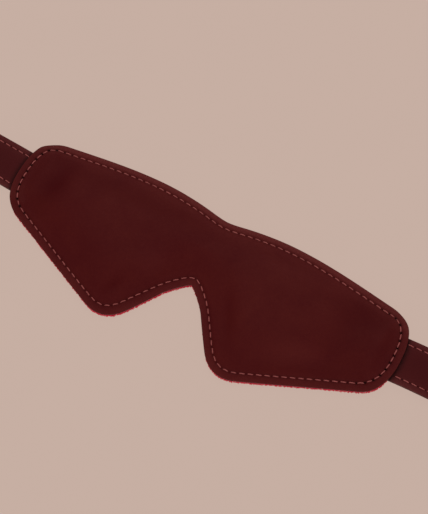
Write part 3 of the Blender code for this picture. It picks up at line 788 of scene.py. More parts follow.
def open_foam(name):
    """Soft foam with open cells."""
    finish, tree, shader = new_finish(name)
    place = own_place(tree)
    cells = put(tree, "ShaderNodeTexVoronoi", Vector=place, Scale=1.6)
    fibres = use(tree, FIBRES, place, Fibre=0.5)
    pit = rescale(tree, cells.outputs["Distance"], 0.1, 0.6, 0.0, 1.0)
    tone = maths(tree, "MULTIPLY", pit, fibres["Tone"])
    fill(tree, shader, Base_Color=tint(tree, tone, FOAM_DEEP, FOAM_GREY))
    fill(tree, shader, Roughness=rescale(tree, pit, 0.0, 1.0, 1.0, 0.85))
    bump(tree, shader, pit, 0.3)
    return finish


FRONT_LEATHER = leather(
    "front_leather_burgundy", BURGUNDY, BURGUNDY_DEEP, BURGUNDY_RUBBED_AND_LIT,
    pebble=0.62, relief=0.035, smooth=0.46, rough=0.56,
)
STRAP_LEATHER = leather(
    "strap_leather_burgundy", STRAP_BURGUNDY, STRAP_DEEP, STRAP_WORN,
    pebble=0.55, relief=0.035, smooth=0.44, rough=0.55,
)
CUT_EDGE = dyed_edge("dyed_cut_edge")
THREAD = soft_cloth("dusty_red_thread", THREAD_RED, THREAD_DARK, 0.12, 0.03, 0.2)
PILE = soft_cloth("crimson_pile", CRIMSON, CRIMSON_DEEP, 0.1, 0.05, 0.5)
BACKING = soft_cloth("crimson_backing_cloth", CRIMSON_DEEP, CRIMSON_SHADE, 0.3, 0.08, 0.2)
FOAM = open_foam("grey_open_foam")
BRASS_FINISH = worn_brass("pale_worn_brass")


# ---------------------------------------------------------------- mask


def mask_outline():
    """The whole outline, anticlockwise."""
    knots = []
    for x, y, heading, before, after in HALF_OUTLINE:
        turn = math.radians(heading)
        point = Vector((x, y, 0))
        ahead = Vector((math.cos(turn), math.sin(turn), 0))
        knots.append((point, point - ahead * before, point + ahead * after))
    half = []
    for (start, _, leave), (end, arrive, _) in zip(knots[:-1], knots[1:]):
        curve = interpolate_bezier(start, leave, arrive, end, CURVE_POINTS)
        half += [tuple(p.to_2d()) for p in curve[:-1]]
    half = np.array(half + [HALF_OUTLINE[-1][:2]])
    mirrored = half[1:-1][::-1] * (-1, 1)
    return respaced(np.vstack([half, mirrored])[::-1], OUTLINE_SPACING, True)


def seam_line(outline, inset):
    """The stitch line, an even distance inside the outline."""
    line = beside(outline, True, inset)
    return line[distance_to(line, [(outline, True)]) > inset - 0.1]


def front_seam(outline):
    """The front's stitch line, which wanders a little further in beside the left of the nose."""
    away = np.hypot(*(outline - WANDER_MIDDLE).T)
    inset = SEAM_INSET + WANDER_DEEP * bell(away, WANDER_REACH)
    line = beside(outline, True, inset[:, None])
    return line[distance_to(line, [(outline, True)]) > SEAM_INSET - 0.1]


def strap_cover(places):
    """1 over the sewn-in end of a strap, 0 away from it, smooth between."""
    exit_y = np.where(places[:, 0] > 0, HOLE_STRAP_EXIT_Y, BUCKLE_STRAP_EXIT_Y)
    past_side = np.clip(np.abs(places[:, 1] - exit_y) - STRAP_HALF - TAB_MARGIN, 0.0, None)
    plateau = STRAP_EXIT_X - TAB_LENGTH - TAB_MARGIN
    past_end = np.clip(plateau - np.abs(places[:, 0]), 0.0, None)
    return smooth_step(1.0 - np.hypot(past_side, past_end) / TAB_FADE)


def dents(places):
    """How far the soft dents and folds lower the front."""
    total = np.zeros(len(places))
    for x, y, reach_along, reach_across, turn, deep in DENTS:
        c = math.cos(math.radians(turn))
        s = math.sin(math.radians(turn))
        dx = places[:, 0] - x
        dy = places[:, 1] - y
        along = (dx * c + dy * s) / reach_along
        across = (dy * c - dx * s) / reach_across
        total += deep * np.exp(-(along**2) - across**2)
    return total


def over_padding(depth):
    """0 on the sewn border and 1 over the padding, smooth between."""
    return smooth_step((depth - PAD_START) / PAD_FADE)


def cover_height(places, depth):
    """Height of the padded front's outer face, without its seam."""
    padding = PAD_RISE * (1 - np.exp(-np.clip(depth - PAD_START, 0.0, None) / PAD_SOFTNESS))
    over_strap = (STRAP_THICK + TAB_CLEARANCE) * strap_cover(places)
    return BORDER_UNDERSIDE + LEATHER_THICK + np.hypot(padding, over_strap)


def swelling(outline):
    """How far the foam swells the cover, from a cloth simulation of a coarse closed copy.

    Returns the copy's flat places and how far each rises, in millimetres.
    """
    edge = [(outline, True)]
    flat, faces = flat_cut(outline[::3], edge, [], [PAD_START, SWELL_FROM], 3.4)
    depth = distance_to(flat, edge)
    top = cover_height(flat, depth) * SWELL_START
    count = len(flat)
    skins, walls = closed_faces(faces, count)
    points = np.vstack([lay_flat(flat, top), lay_flat(flat, np.full(count, LINING_TOP))])
    mesh = mesh_of("swelling_copy", points * MM * SWELL_GROW, skins + walls)
    copy = add_object("swelling_copy", mesh)
    sewn = copy.vertex_groups.new(name="sewn")
    held = [i for i in range(count) if depth[i] < PAD_START + 0.2]
    sewn.add(held + list(range(count, 2 * count)), 1.0, "REPLACE")
    cloth = copy.modifiers.new("swell", "CLOTH")
    for word, value in SWELL_CLOTH.items():
        setattr(cloth.settings, word, value)
    cloth.settings.vertex_group_mass = "sewn"
    cloth.settings.effector_weights.gravity = 0.0
    cloth.collision_settings.use_collision = False
    scene = bpy.context.scene
    for number in range(1, SWELL_FRAMES + 1):
        scene.frame_set(number)
    swollen = copy.evaluated_get(bpy.context.evaluated_depsgraph_get())
    heights = np.array([v.co.z for v in swollen.data.vertices])[:count] / (MM * SWELL_GROW)
    scene.frame_set(1)
    bpy.data.objects.remove(copy)
    bpy.data.meshes.remove(mesh)
    rise = heights - top
    return flat, np.clip(rise - np.median(rise[depth > SWELL_FROM]), -SWELL_CAP, SWELL_CAP)


def read_swelling(coarse, rise, places):
    """The coarse copy's rise at finer places, evened out between its points."""
    found = np.zeros(len(places))
    for batch in batches(places):
        square = ((places[batch, None] - coarse[None]) ** 2).sum(axis=2)
        weight = np.exp(-square / (2 * SWELL_EVENED**2))
        found[batch] = (weight * rise).sum(axis=1) / (weight.sum(axis=1) + 1e-9)
    return found


def needle_places(junctions):
    """Places round each needle hole, for the mesh to hold its shape."""
    rings = [junctions]
    for radius, count in ((0.26, 6), (0.55, 8)):
        for k in range(count):
            a = 2 * math.pi * (k + 0.5) / count
            rings.append(junctions + (radius * math.cos(a), radius * math.sin(a)))
    return rings


def lay_flat(places, height):
    """Flat places at their heights."""
    return np.column_stack([places, height])


def stitches(name, runs, wide, lift, sink):
    """Twisted two-strand stitches. Each run is (start, end, outward) on the leather's face.

    wide is half the thread's width, lift is how far its middle stands above the face and sink
    is how far its ends go below it.
    """
    sides = STITCH_SIDES
    shares = np.linspace(0.0, 1.0, STITCH_STATIONS)
    rise = -sink + (sink + lift) * np.sin(math.pi * shares) ** 0.8
    points = []
    faces = []
    angles = 2 * math.pi * np.arange(sides) / sides
    for start, end, outward in runs:
        along = end - start
        across = np.cross(outward, along)
        across = across / np.linalg.norm(across)
        slant = STITCH_SLANT * np.cos(math.pi * shares)
        line = start + shares[:, None] * along + rise[:, None] * outward + slant[:, None] * across
        twist = 2 * math.pi * STITCH_TURNS * shares
        first = len(points)
        for middle, turned in zip(line, twist):
            bulge = wide * (1.0 + 0.2 * np.cos(2 * (angles - turned)))
            ring = middle + (bulge * np.cos(angles))[:, None] * across
            points.extend(ring + (0.86 * bulge * np.sin(angles))[:, None] * outward)
        last = len(points) - sides
        faces += tube_faces(first, sides, STITCH_STATIONS)
        faces.append(tuple(range(first + sides - 1, first - 1, -1)))
        faces.append(tuple(range(last, last + sides)))
    piece = new_piece(name, points, faces, [THREAD])
    piece.data.shade_smooth()
    return piece


def front_painted_shade(flat, hole, beside_seam, at_end):
    """Painted shade on the front: in its needle holes, along its seam and towards its ends."""
    holes = bell(hole, HOLE_WIDE_ALONG + HOLE_WIDER_AT_END * at_end)
    holes *= HOLE_SHADE_ALONG + (1.0 - HOLE_SHADE_ALONG) * at_end
    shaded = smooth_step((np.abs(flat[:, 0] - SHADE_MIDDLE) - SHADE_FROM) / SHADE_REACH)
    return holes + SEAM_SHADE * bell(beside_seam, SEAM_SHADE_WIDE) + SHADE_DARK * shaded


def front_wear_and_light(flat, depth, lowered):
    """How much the front is rubbed or painted lighter: rubbing on its border and cut edge, a
    painted rim highlight on its cut edge, a painted highlight that is strongest at the brow, and
    rubbing with a painted highlight on its raised folds.

    It is below zero in the dents, which get painted shade.
    """
    # The brow side gets a painted highlight, as if lit from the brow.
    at_brow = smooth_step((flat[:, 1] - BROW_FROM) / BROW_REACH)
    border = 1.0 - smooth_step((depth - BORDER_FROM) / BORDER_REACH)
    past_border = np.clip(depth - BESIDE_BROW_REACH, 0.0, None)
    beside_brow = at_brow * (1.0 - border) * np.exp(-past_border / BESIDE_BROW_REACH)
    # The border is rubbed all round, with a painted highlight added towards the brow.
    wear_and_light = border * (BORDER_WORN + BROW_BORDER_HIGHLIGHT * at_brow)
    # The cut edge is rubbed and carries a painted rim highlight; beside the brow the leather gets a
    # painted highlight.
    wear_and_light += CUT_EDGE_RUB_AND_HIGHLIGHT * np.exp(-depth / 0.6) + BESIDE_BROW_HIGHLIGHT * beside_brow
    # Raised folds are rubbed and painted lighter as a highlight; dents get painted shade.
    relief = FOLD_RUB_AND_HIGHLIGHT * np.clip(-lowered, 0.0, None) + DENT_SHADE * np.clip(lowered, 0.0, None)
    return wear_and_light + over_padding(depth) * relief


def make_mask():
    """The mask: its leather cover, foam and lining, and the seam that holds them together."""
    outline = mask_outline()
    edge = [(outline, True)]
    seam = front_seam(outline)
    junctions = respaced(seam, STITCH_PITCH, True)
    cut = flat_cut(outline, edge, [], FRONT_RINGS, FRONT_SPACING, needle_places(junctions))
    flat = cut[0]
    depth = distance_to(flat, edge)
    hole = nearest_gap(flat, junctions)

    swell = np.zeros(len(flat))
    coarse, rise = swelling(outline)
    swell = read_swelling(coarse, rise, flat)

    beside_seam = nearest_gap(flat, respaced(seam, 0.25, True))
    groove = GROOVE_DEEP * bell(beside_seam, GROOVE_WIDE)
    lowered = dents(flat)
    welt = BORDER_RISE * smooth_step(depth / (SEAM_INSET - 0.6))
    at_end = smooth_step((np.abs(flat[:, 0]) - END_PULL_FROM) / END_PULL_REACH)
    pulled = PULL_ALONG + (1.0 - PULL_ALONG) * at_end
    pinch = pulled * NEEDLE_DEEP * bell(hole, NEEDLE_WIDE)
    pucker = PUCKER_DEEP * bell(hole, PUCKER_WIDE)
    padded = cover_height(flat, depth) + over_padding(depth) * (swell - lowered)
    top = padded + welt - groove - pinch - pucker
    under = top - LEATHER_THICK + pinch + 0.5 * groove
    # Painted shade at the needle holes, along the seam and towards the ends.
    painted_shade = front_painted_shade(flat, hole, beside_seam, at_end)
    cover = laid_sheet(
        "front_leather_cover", cut, lay_flat, top, under, depth, FRONT_ROUNDING, painted_shade,
        [FRONT_LEATHER, CUT_EDGE], front_wear_and_light(flat, depth, lowered),
    )
    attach(cover, "mask")
    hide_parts("front_leather_panel")

    make_foam(outline, edge)
    make_lining(outline, edge)

    heights = cover_height(junctions, distance_to(junctions, edge))
    ends = lay_flat(junctions, heights + BORDER_RISE - GROOVE_DEEP - 0.12)
    runs = [(a, b, np.array((0.0, 0.0, 1.0))) for a, b in zip(ends, np.roll(ends, -1, axis=0))]
    front = stitches("front_edge_stitches", runs, **EDGE_STITCH)
    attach(front, "mask")
    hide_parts("edge_seam_front_thread")

    low = lay_flat(junctions, np.full(len(junctions), PILE_ROOT - 0.1))
    runs = [(b, a, np.array((0.0, 0.0, -1.0))) for a, b in zip(low, np.roll(low, -1, axis=0))]
    back = stitches("back_edge_stitches", runs, **EDGE_STITCH)
    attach(back, "mask")
    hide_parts("edge_seam_back_thread")


def make_foam(outline, edge):
    """The foam inside, a little lower than the leather over it."""
    foam_line = seam_line(outline, FOAM_EDGE)
    own_edge = [(foam_line, True)]
    cut = flat_cut(foam_line, own_edge, [], [0.3, 1.0, 2.5], 3.0)
    flat = cut[0]
    depth = distance_to(flat, edge)
    roof = cover_height(flat, depth) - LEATHER_THICK - over_padding(depth) * dents(flat) - FOAM_ROOM
    over_tab = LINING_TOP + 0.2 + (STRAP_THICK + 0.3) * strap_cover(flat)
    top = np.maximum(roof, over_tab + 0.3)
    foam = laid_sheet(
        "foam_core", cut, lay_flat, top, over_tab, distance_to(flat, own_edge), 0.15, 0.0,
        [FOAM],
    )
    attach(foam, "mask")
    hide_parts("foam_padding")


def make_lining(outline, edge):
    """The lining's knitted backing, and the short pile that stands out of it."""
    own_line = respaced(seam_line(outline, LINING_INSET), OUTLINE_SPACING, True)
    cut = flat_cut(own_line, [(own_line, True)], [], [0.25, 0.8, 1.8, 3.0, 3.8, 4.6, 5.8], 3.0)
    flat = cut[0]
    depth = distance_to(flat, edge)
    under = LINING_TOP - LINING_THICK + 0.25 * bell(depth - SEAM_INSET, 0.8)
    backing = laid_sheet(
        "lining_backing_cloth", cut, lay_flat, LINING_TOP, under, depth, 0.2, 0.0,
        [BACKING],
    )
    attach(backing, "mask")
    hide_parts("plush_lining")
    pile = make_pile(outline, edge)
    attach(pile, "mask")


def make_pile(outline, edge):
    """Tufts with a pointed tip, brushed one way, which show past the edges they lean over."""
    chance = random.Random(7)
    field = even_fill(outline, TUFT_SPACING)
    field = field[lies_inside(field, outline)]
    field = field[distance_to(field, edge) > FIELD_EDGE]
    roots = [(x, y, TUFT_HALF) for x, y in field]
    for inset, pitch in FRINGE_ROWS:
        line = respaced(seam_line(outline, inset), pitch, True)
        roots += [(x, y, FRINGE_HALF) for x, y in line]
    flat = np.array([r[:2] for r in roots])
    depth = distance_to(flat, edge)
    points = []
    faces = []
    for (x, y, wide), deep in zip(roots, depth):
        pressed = 0.75 * bell(deep - SEAM_INSET, 0.9)
        length = (PILE_ROOT - 0.04) * (1.0 - pressed) * chance.uniform(0.84, 1.0)
        lean = Vector((*(way + chance.uniform(-NAP_SPREAD, NAP_SPREAD) for way in NAP), 0.0))
        spin = chance.uniform(0.0, math.pi)
        root = Vector((*(at + chance.uniform(-0.15, 0.15) for at in (x, y)), PILE_ROOT + 0.1))
        first = len(points)
        for share, width in ((0.0, 0.8), (0.62, 1.0)):
            centre = root + lean * share - Vector((0, 0, (length + 0.1) * share))
            for k in range(4):
                a = spin + math.pi / 2 * k
                points.append(centre + Vector((math.cos(a), math.sin(a), 0.0)) * wide * width)
        points.append(root + lean - Vector((0, 0, length + 0.1)))
        for k in range(4):
            n = (k + 1) % 4
            faces.append((first + n, first + k, first + 4 + k, first + 4 + n))
            faces.append((first + 4 + n, first + 4 + k, first + 8))
        faces.append((first, first + 1, first + 2, first + 3))
    pile = new_piece("plush_pile", points, faces, [PILE])
    pile.data.shade_smooth()
    return pile


# ---------------------------------------------------------------- straps


def strap_root(side):
    """Where a strap leaves the mask, and which way it runs."""
    turn = math.radians(STRAP_RISE_DEG if side > 0 else 180.0 - STRAP_RISE_DEG)
    exit_y = HOLE_STRAP_EXIT_Y if side > 0 else BUCKLE_STRAP_EXIT_Y
    return Matrix.Translation((side * STRAP_EXIT_X, exit_y, 0.0)) @ Matrix.Rotation(turn, 4, "Z")


def turned_out(root, points):
    """Points beside the strap's root, moved to where the strap is."""
    rows = np.array(root)
    return np.asarray(points) @ rows[:3, :3].T + rows[:3, 3]


def strap_way(side, line, start):
    """A function that lays flat places along a line of (along, height) points."""
    root = strap_root(side)
    run = start + run_along(line)
    heading = unit(np.gradient(line, run, axis=0))

    def lay(places, height):
        at = places[:, 0]
        u = np.interp(at, run, line[:, 0])
        z = np.interp(at, run, line[:, 1])
        du = np.interp(at, run, heading[:, 0])
        dz = np.interp(at, run, heading[:, 1])
        return turned_out(root, np.column_stack([u - dz * height, places[:, 1], z + du * height]))

    return lay, run


def drop_line(mid_z, end):
    """The strap's centre line from the sewn-in end: it drops to its own height and runs on."""
    along = np.arange(-TAB_LENGTH, end + 0.5, 0.5)
    share = smooth_step((along - FIRST_BEND) / (DROP_LENGTH - FIRST_BEND))
    return np.column_stack([along, TAB_MID_Z + (mid_z - TAB_MID_Z) * share])


def tip_half_width(u):
    """Half the hole strap's width, which narrows to nothing round its tip."""
    share = np.clip((u - (HOLE_STRAP_LENGTH - TIP_LENGTH)) / TIP_LENGTH, 0.0, 1.0)
    return STRAP_HALF * np.sqrt(np.clip(1 - share**1.7, 0.0, None))


def straight_across(u):
    """Places across the strap, closer together where its edges round over and at its stitches."""
    from_edge = np.array(ACROSS_PLACES)
    v = np.concatenate([from_edge - STRAP_HALF, [0.0], STRAP_HALF - from_edge[::-1]])
    return np.column_stack([np.full(len(v), u), v])


def strap_shape(start, end, tip=False):
    """The outline of a stretch of strap, and its cut edges as lines with leather on the left."""
    near_end = straight_across(start)[::-1]
    if not tip:
        along = respaced([(start, -STRAP_HALF), (end, -STRAP_HALF)], 1.3, False)
        back = along[::-1] * (1, -1)
        outline = np.vstack([along, straight_across(end), back, near_end])
        return outline, [(along, False), (back, False)]
    taper = HOLE_STRAP_LENGTH - TIP_LENGTH + TIP_LENGTH * np.sin(np.linspace(0, math.pi / 2, 40))
    lower = np.column_stack([taper, -tip_half_width(taper)])
    lower = np.vstack([[(start, -STRAP_HALF)], lower])
    whole = np.vstack([lower, lower[-2::-1] * (1, -1)])
    line = respaced(whole, 1.1, False)
    return np.vstack([line, near_end]), [(line, False)]


def punch(place):
    """A round hole's edge, clockwise, so that the leather is on its left."""
    angles = -2 * math.pi * np.arange(20) / 20
    return np.column_stack([place + HOLE_RADIUS * np.cos(angles), HOLE_RADIUS * np.sin(angles)])


def seam_groove_and_shade(flat, junctions):
    """How deep the stitch line's groove and needle holes are, and how much painted shade darkens
    them.
    """
    hole = nearest_gap(flat, junctions)
    row = nearest_gap(flat, respaced_rows(junctions))
    pinch = bell(hole, STRAP_NEEDLE_WIDE)
    groove = STRAP_GROOVE_DEEP * bell(row, 0.6) + STRAP_NEEDLE_DEEP * pinch
    return groove, 0.5 * pinch + 0.15 * bell(row, 0.45)


def respaced_rows(junctions):
    """Closer places along the stitch rows, between the needle holes of each row."""
    gaps = np.linalg.norm(np.roll(junctions, -1, axis=0) - junctions, axis=1)
    pieces = [junctions]
    for share in (0.25, 0.5, 0.75):
        between = junctions + (np.roll(junctions, -1, axis=0) - junctions) * share
        pieces.append(between[gaps < 1.6 * STITCH_PITCH])
    return np.vstack(pieces)


def side_rows(start, end):
    """Needle places of the two straight stitch rows between two places along the strap."""
    first = math.ceil(start / STITCH_PITCH)
    last = math.floor(end / STITCH_PITCH)
    along = np.arange(first, last + 1) * STITCH_PITCH
    side = STRAP_HALF - STRAP_SEAM_INSET
    return [np.column_stack([along, np.full(len(along), v)]) for v in (-side, side)]


def tip_row(start):
    """Needle places of the last stretch: along one edge, round the tip and back."""
    first = math.ceil(start / STITCH_PITCH) * STITCH_PITCH
    edges = strap_shape(first, HOLE_STRAP_LENGTH, tip=True)[1]
    line = beside(edges[0][0], False, STRAP_SEAM_INSET)
    line = line[distance_to(line, edges) > STRAP_SEAM_INSET - 0.1]
    return [respaced(line, STITCH_PITCH, False)]


def shadow_beside_mask(laid):
    """Painted shadow on the strap where it comes out from under the mask's edge."""
    away = distance_to(laid[:, :2], [(mask_outline(), True)])
    return 0.98 * bell(away, 1.6)


def strap_sheet(name, cut, lay, top, under, depth, painted_shade, rounding=PLY_ROUNDING):
    """A piece of strap leather with dyed cut edges."""
    finishes = [STRAP_LEATHER, CUT_EDGE]
    return laid_sheet(name, cut, lay, top, under, depth, rounding, painted_shade, finishes)


def strap_part(name, way, start, end, rows, holes=(), tip=False):
    """One stretch of strap: outer ply, backing ply, and the stitches through both."""
    outline, edges = strap_shape(start, end, tip)
    punched = [punch(place) for place in holes]
    edges = edges + [(loop, True) for loop in punched]
    junctions = np.vstack(rows)
    extra = needle_places(junctions)
    for row in rows:
        if len(row) > 1:
            extra += [respaced(row + (0, dv), 1.0, False) for dv in (-0.7, -0.3, 0.0, 0.3, 0.7)]
    if punched:
        extra = [p[distance_to(p, edges) > 0.2] for p in extra]
    cut = flat_cut(outline, edges, punched, STRAP_RINGS, STRAP_SPACING, extra)
    flat = cut[0]
    depth = distance_to(flat, edges)
    groove, painted_shade = seam_groove_and_shade(flat, junctions)
    # Painted shadow where the strap comes out from under the mask's edge.
    if start < 0:
        painted_shade = np.maximum(painted_shade, shadow_beside_mask(way(flat, np.zeros(len(flat)))))
    face = STRAP_THICK / 2 - groove - EDGE_RUBBED_DEEP * np.exp(-depth / EDGE_RUBBED_REACH)
    outer = strap_sheet(name + "_outer", cut, way, face, PLY_INNER, depth, painted_shade)
    backing = strap_sheet(name + "_backing", cut, way, -PLY_INNER, -face, depth, painted_shade)
    sewn = stitches(name + "_stitches", strap_runs(way, rows), **STRAP_STITCH)
    return outer, backing, sewn


def strap_runs(way, rows):
    """The stitches on both faces of the strap, between neighbouring needle places."""
    runs = []
    for face in (1, -1):
        level = face * (STRAP_THICK / 2 - 0.1)
        for row in rows:
            on_face = way(row, np.full(len(row), level))
            above = way(row, np.full(len(row), level + face))
            outward = above - on_face
            for k in range(len(row) - 1):
                a, b = (k, k + 1) if face > 0 else (k + 1, k)
                runs.append((on_face[a], on_face[b], outward[k]))
    return runs


def bend_at(pieces, way, place):
    """Bakes each piece's placement into its mesh; the places on either side of the bend are worked
    out but not used.
    """
    reach = FOLD_REACH if place == FIRST_BEND else BEND_REACH
    ends = way(np.array([(place - reach, 0.0), (place + reach, 0.0)]), np.zeros(2)) * MM
    for piece in pieces:
        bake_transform(piece)


def make_hole_strap():
    """The long strap, in four stretches, with its holes and its rounded tip."""
    way, _ = strap_way(1, drop_line(HOLE_STRAP_MID_Z, HOLE_STRAP_LENGTH), -TAB_LENGTH)
    holes = [FIRST_HOLE + HOLE_PITCH * k for k in range(HOLE_COUNT)]
    bodies = ["mask", "hole_strap_1", "hole_strap_2", "hole_strap_3", "hole_strap_4"]
    for number, (start, end) in enumerate(zip(HOLE_STRAP_SPLITS[:-1], HOLE_STRAP_SPLITS[1:]), 1):
        name = f"hole_strap_part_{number}"
        last = number == len(bodies) - 1
        rows = tip_row(start) if last else side_rows(max(start, 0.0), end + STITCH_PITCH)
        within = [h for h in holes if start < h < end]
        outer, backing, sewn = strap_part(name, way, start, end, rows, within, tip=last)
        label = f"hole_strap_{number}"
        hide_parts(label + "_outer_ply", *(["hole_strap_sewn_tab"] if number == 1 else []))
        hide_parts(label + "_backing_ply")
        threads = ["_thread"] if last else ["_upper_thread", "_lower_thread"]
        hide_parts(*[label + thread for thread in threads])
        pieces = [outer, backing, sewn]
        bend_at(pieces, way, HOLE_STRAP_BENDS[number - 1])


def make_buckle_strap():
    """The short strap, in two stretches, and its end round the buckle's bar."""
    way, _ = strap_way(-1, drop_line(BUCKLE_STRAP_MID_Z, BAR_AT), -TAB_LENGTH)
    for number in (1, 2):
        start, end = BUCKLE_STRAP_SPLITS[number - 1 : number + 1]
        rows = side_rows(max(start, 0.0), end + STITCH_PITCH)
        outer, backing, sewn = strap_part(f"buckle_strap_part_{number}", way, start, end, rows)
        if number == 1:
            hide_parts("buckle_strap_1_outer_ply", "buckle_strap_sewn_tab")
            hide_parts("buckle_strap_1_backing_ply")
            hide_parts("buckle_strap_1_upper_thread", "buckle_strap_1_lower_thread")
        pieces = [outer, backing, sewn]
        bend_at(pieces, way, BUCKLE_STRAP_BENDS[number - 1])
    make_turned_end(way)


def wrap_line():
    """Centre line of the outer ply: along the strap, round the buckle's bar and back under."""
    radius = WRAP_INNER + PLY_THICK / 2
    near = STRAP_THICK / 2 - PLY_THICK / 2
    rise_from = BAR_AT - CLIMB_LENGTH
    start = BUCKLE_STRAP_SPLITS[-1]
    straight = [(u, near) for u in np.arange(start, rise_from, 2.0)]
    climb = [
        (rise_from + CLIMB_LENGTH * k / 12, near + (radius - near) * float(smooth_step(k / 12)))
        for k in range(12)
    ]
    turn = np.linspace(0, math.pi, 28)
    round_bar = [(BAR_AT + radius * math.sin(a), radius * math.cos(a)) for a in turn]
    back = [(u, -z) for u, z in reversed(straight + climb) if u >= TURNBACK_END]
    line = np.array(straight + climb + round_bar + back + [(TURNBACK_END, -near)])
    return line + (0.0, BUCKLE_STRAP_MID_Z)


def prong_slot(start, end):
    """The edge of the slot that lets the prong through, clockwise, with rounded ends."""
    centre = (start + end) / 2
    reach = (end - start) / 2 - SLOT_HALF
    arc = np.linspace(-math.pi / 2, math.pi / 2, 9)
    right = np.column_stack([centre + reach + SLOT_HALF * np.cos(arc), SLOT_HALF * np.sin(arc)])
    return respaced(np.vstack([right, right * (-1, -1) + (2 * centre, 0)]), 0.9, True)[::-1]


def square_ended(start, end):
    """A stretch of strap whose far end is a cut edge too."""
    outline, edges = strap_shape(start, end)
    tail = respaced([(end, -STRAP_HALF), (end, STRAP_HALF)], 1.2, False)
    return outline, edges + [(tail, False)]


def make_turned_end(way):
    """The end that holds the buckle: the outer ply goes round the bar and is riveted back."""
    start = BUCKLE_STRAP_SPLITS[-1]
    round_way, run = strap_way(-1, wrap_line(), start)
    end = float(run[-1])
    outline, edges = square_ended(start, end)
    slot = prong_slot(SLOT_START, end - (SLOT_START - TURNBACK_END))
    edges = edges + [(slot, True)]
    rows = side_rows(start, SLOT_START)
    junctions = np.vstack(rows)
    cut = flat_cut(outline, edges, [slot], STRAP_RINGS + [1.6], 1.7, needle_places(junctions))
    flat = cut[0]
    depth = distance_to(flat, edges)
    groove, painted_shade = seam_groove_and_shade(flat, junctions)
    half = PLY_THICK / 2
    face = half - groove - EDGE_RUBBED_DEEP * np.exp(-depth / EDGE_RUBBED_REACH)
    outer = strap_sheet("buckle_strap_turned_ply", cut, round_way, face, -half, depth, painted_shade)
    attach(outer, "buckle_strap_2")
    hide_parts("buckle_strap_2_outer_ply")

    outline, edges = square_ended(start, BACKING_END)
    near = np.vstack([row[row[:, 0] < TURNBACK_END + 2] for row in rows])
    cut = flat_cut(outline, edges, [], STRAP_RINGS, STRAP_SPACING, needle_places(near))
    flat = cut[0]
    depth = distance_to(flat, edges)
    groove, painted_shade = seam_groove_and_shade(flat, junctions)
    face = groove - STRAP_THICK / 2
    backing = strap_sheet("buckle_strap_backing_end", cut, way, -PLY_INNER, face, depth, painted_shade)
    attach(backing, "buckle_strap_2")
    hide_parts("buckle_strap_2_backing_ply")

    sewn = stitches("buckle_strap_end_stitches", strap_runs(way, rows), **STRAP_STITCH)
    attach(sewn, "buckle_strap_2")
    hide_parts("buckle_strap_2_upper_thread", "buckle_strap_2_lower_thread")


# ---------------------------------------------------------------- keepers, rivets and buckle


def keeper_path():
    """Inside face of a keeper, from the middle of its underside all the way round."""
    half = STRAP_HALF + KEEPER_SIDE_ROOM
    low = BUCKLE_STRAP_MID_Z - STRAP_THICK / 2 - KEEPER_UNDER_ROOM
    high = BUCKLE_STRAP_MID_Z + STRAP_THICK / 2 + KEEPER_TOP_ROOM
    corner = KEEPER_CORNER
    path = [(KEEPER_END_GAP, low)]
    for y, z, turn in (
        (half - corner, low + corner, 270),
        (half - corner, high - corner, 0),
        (-half + corner, high - corner, 90),
        (-half + corner, low + corner, 180),
    ):
        for k in range(7):
            a = math.radians(turn + 15 * k)
            path.append((y + corner * math.cos(a), z + corner * math.sin(a)))
    path.append((-KEEPER_END_GAP, low))
    return respaced(path, 0.45, False)


def make_keeper(name, node, place, body):
    """A leather loop round the strap, its two ends meeting under the strap."""
    path = keeper_path()
    run = run_along(path)
    length = float(run[-1])
    heading = unit(np.gradient(path, run, axis=0))
    root = strap_root(-1)

    def lay(places, height):
        at = places[:, 0]
        y = np.interp(at, run, path[:, 0]) + np.interp(at, run, heading[:, 1]) * height
        z = np.interp(at, run, path[:, 1]) - np.interp(at, run, heading[:, 0]) * height
        return turned_out(root, np.column_stack([place - places[:, 1], y, z]))

    half = KEEPER_WIDE / 2
    lower = respaced([(0.0, -half), (length, -half)], 0.7, False)
    upper = lower[::-1] * (1, -1)
    ends = respaced([(length, -half), (length, half)], 0.8, False)
    edges = [(lower, False), (upper, False), (ends, False), (ends[::-1] - (length, 0), False)]
    cut = flat_cut(np.vstack([lower, upper]), edges, [], [0.06, 0.2, 0.42, 0.85, 1.15, 1.45], 0.95)
    flat = cut[0]
    depth = distance_to(flat, edges)
    from_crease = depth - KEEPER_CREASE_AT
    top = KEEPER_THICK - KEEPER_CREASE_DEEP * bell(from_crease, 0.22)
    # Painted shade along the crease.
    painted_shade = 0.5 * bell(from_crease, 0.2)
    keeper = strap_sheet(name, cut, lay, top, 0.0, depth, painted_shade, rounding=0.42)
    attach(keeper, body)
    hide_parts(node)


def turned_piece(name, profile, place, root, steps=48):
    """A turned part: a profile of (radius, height) points spun about an upright line."""
    points = []
    rings = [(r, z) for r, z in profile if r > 1e-6]
    for r, z in rings:
        for k in range(steps):
            a = 2 * math.pi * k / steps
            points.append((place + r * math.cos(a), r * math.sin(a), z))
    faces = tube_faces(0, steps, len(rings))
    last = steps * (len(rings) - 1)
    for z, first, flip in ((profile[0][1], 0, True), (profile[-1][1], last, False)):
        points.append((place, 0.0, z))
        hub = len(points) - 1
        for k in range(steps):
            n = (k + 1) % steps
            faces.append((hub, first + n, first + k) if flip else (hub, first + k, first + n))
    piece = new_piece(name, turned_out(root, points), faces, [BRASS_FINISH])
    piece.data.shade_smooth()
    piece.data.set_sharp_from_angle(angle=math.radians(40))
    return piece


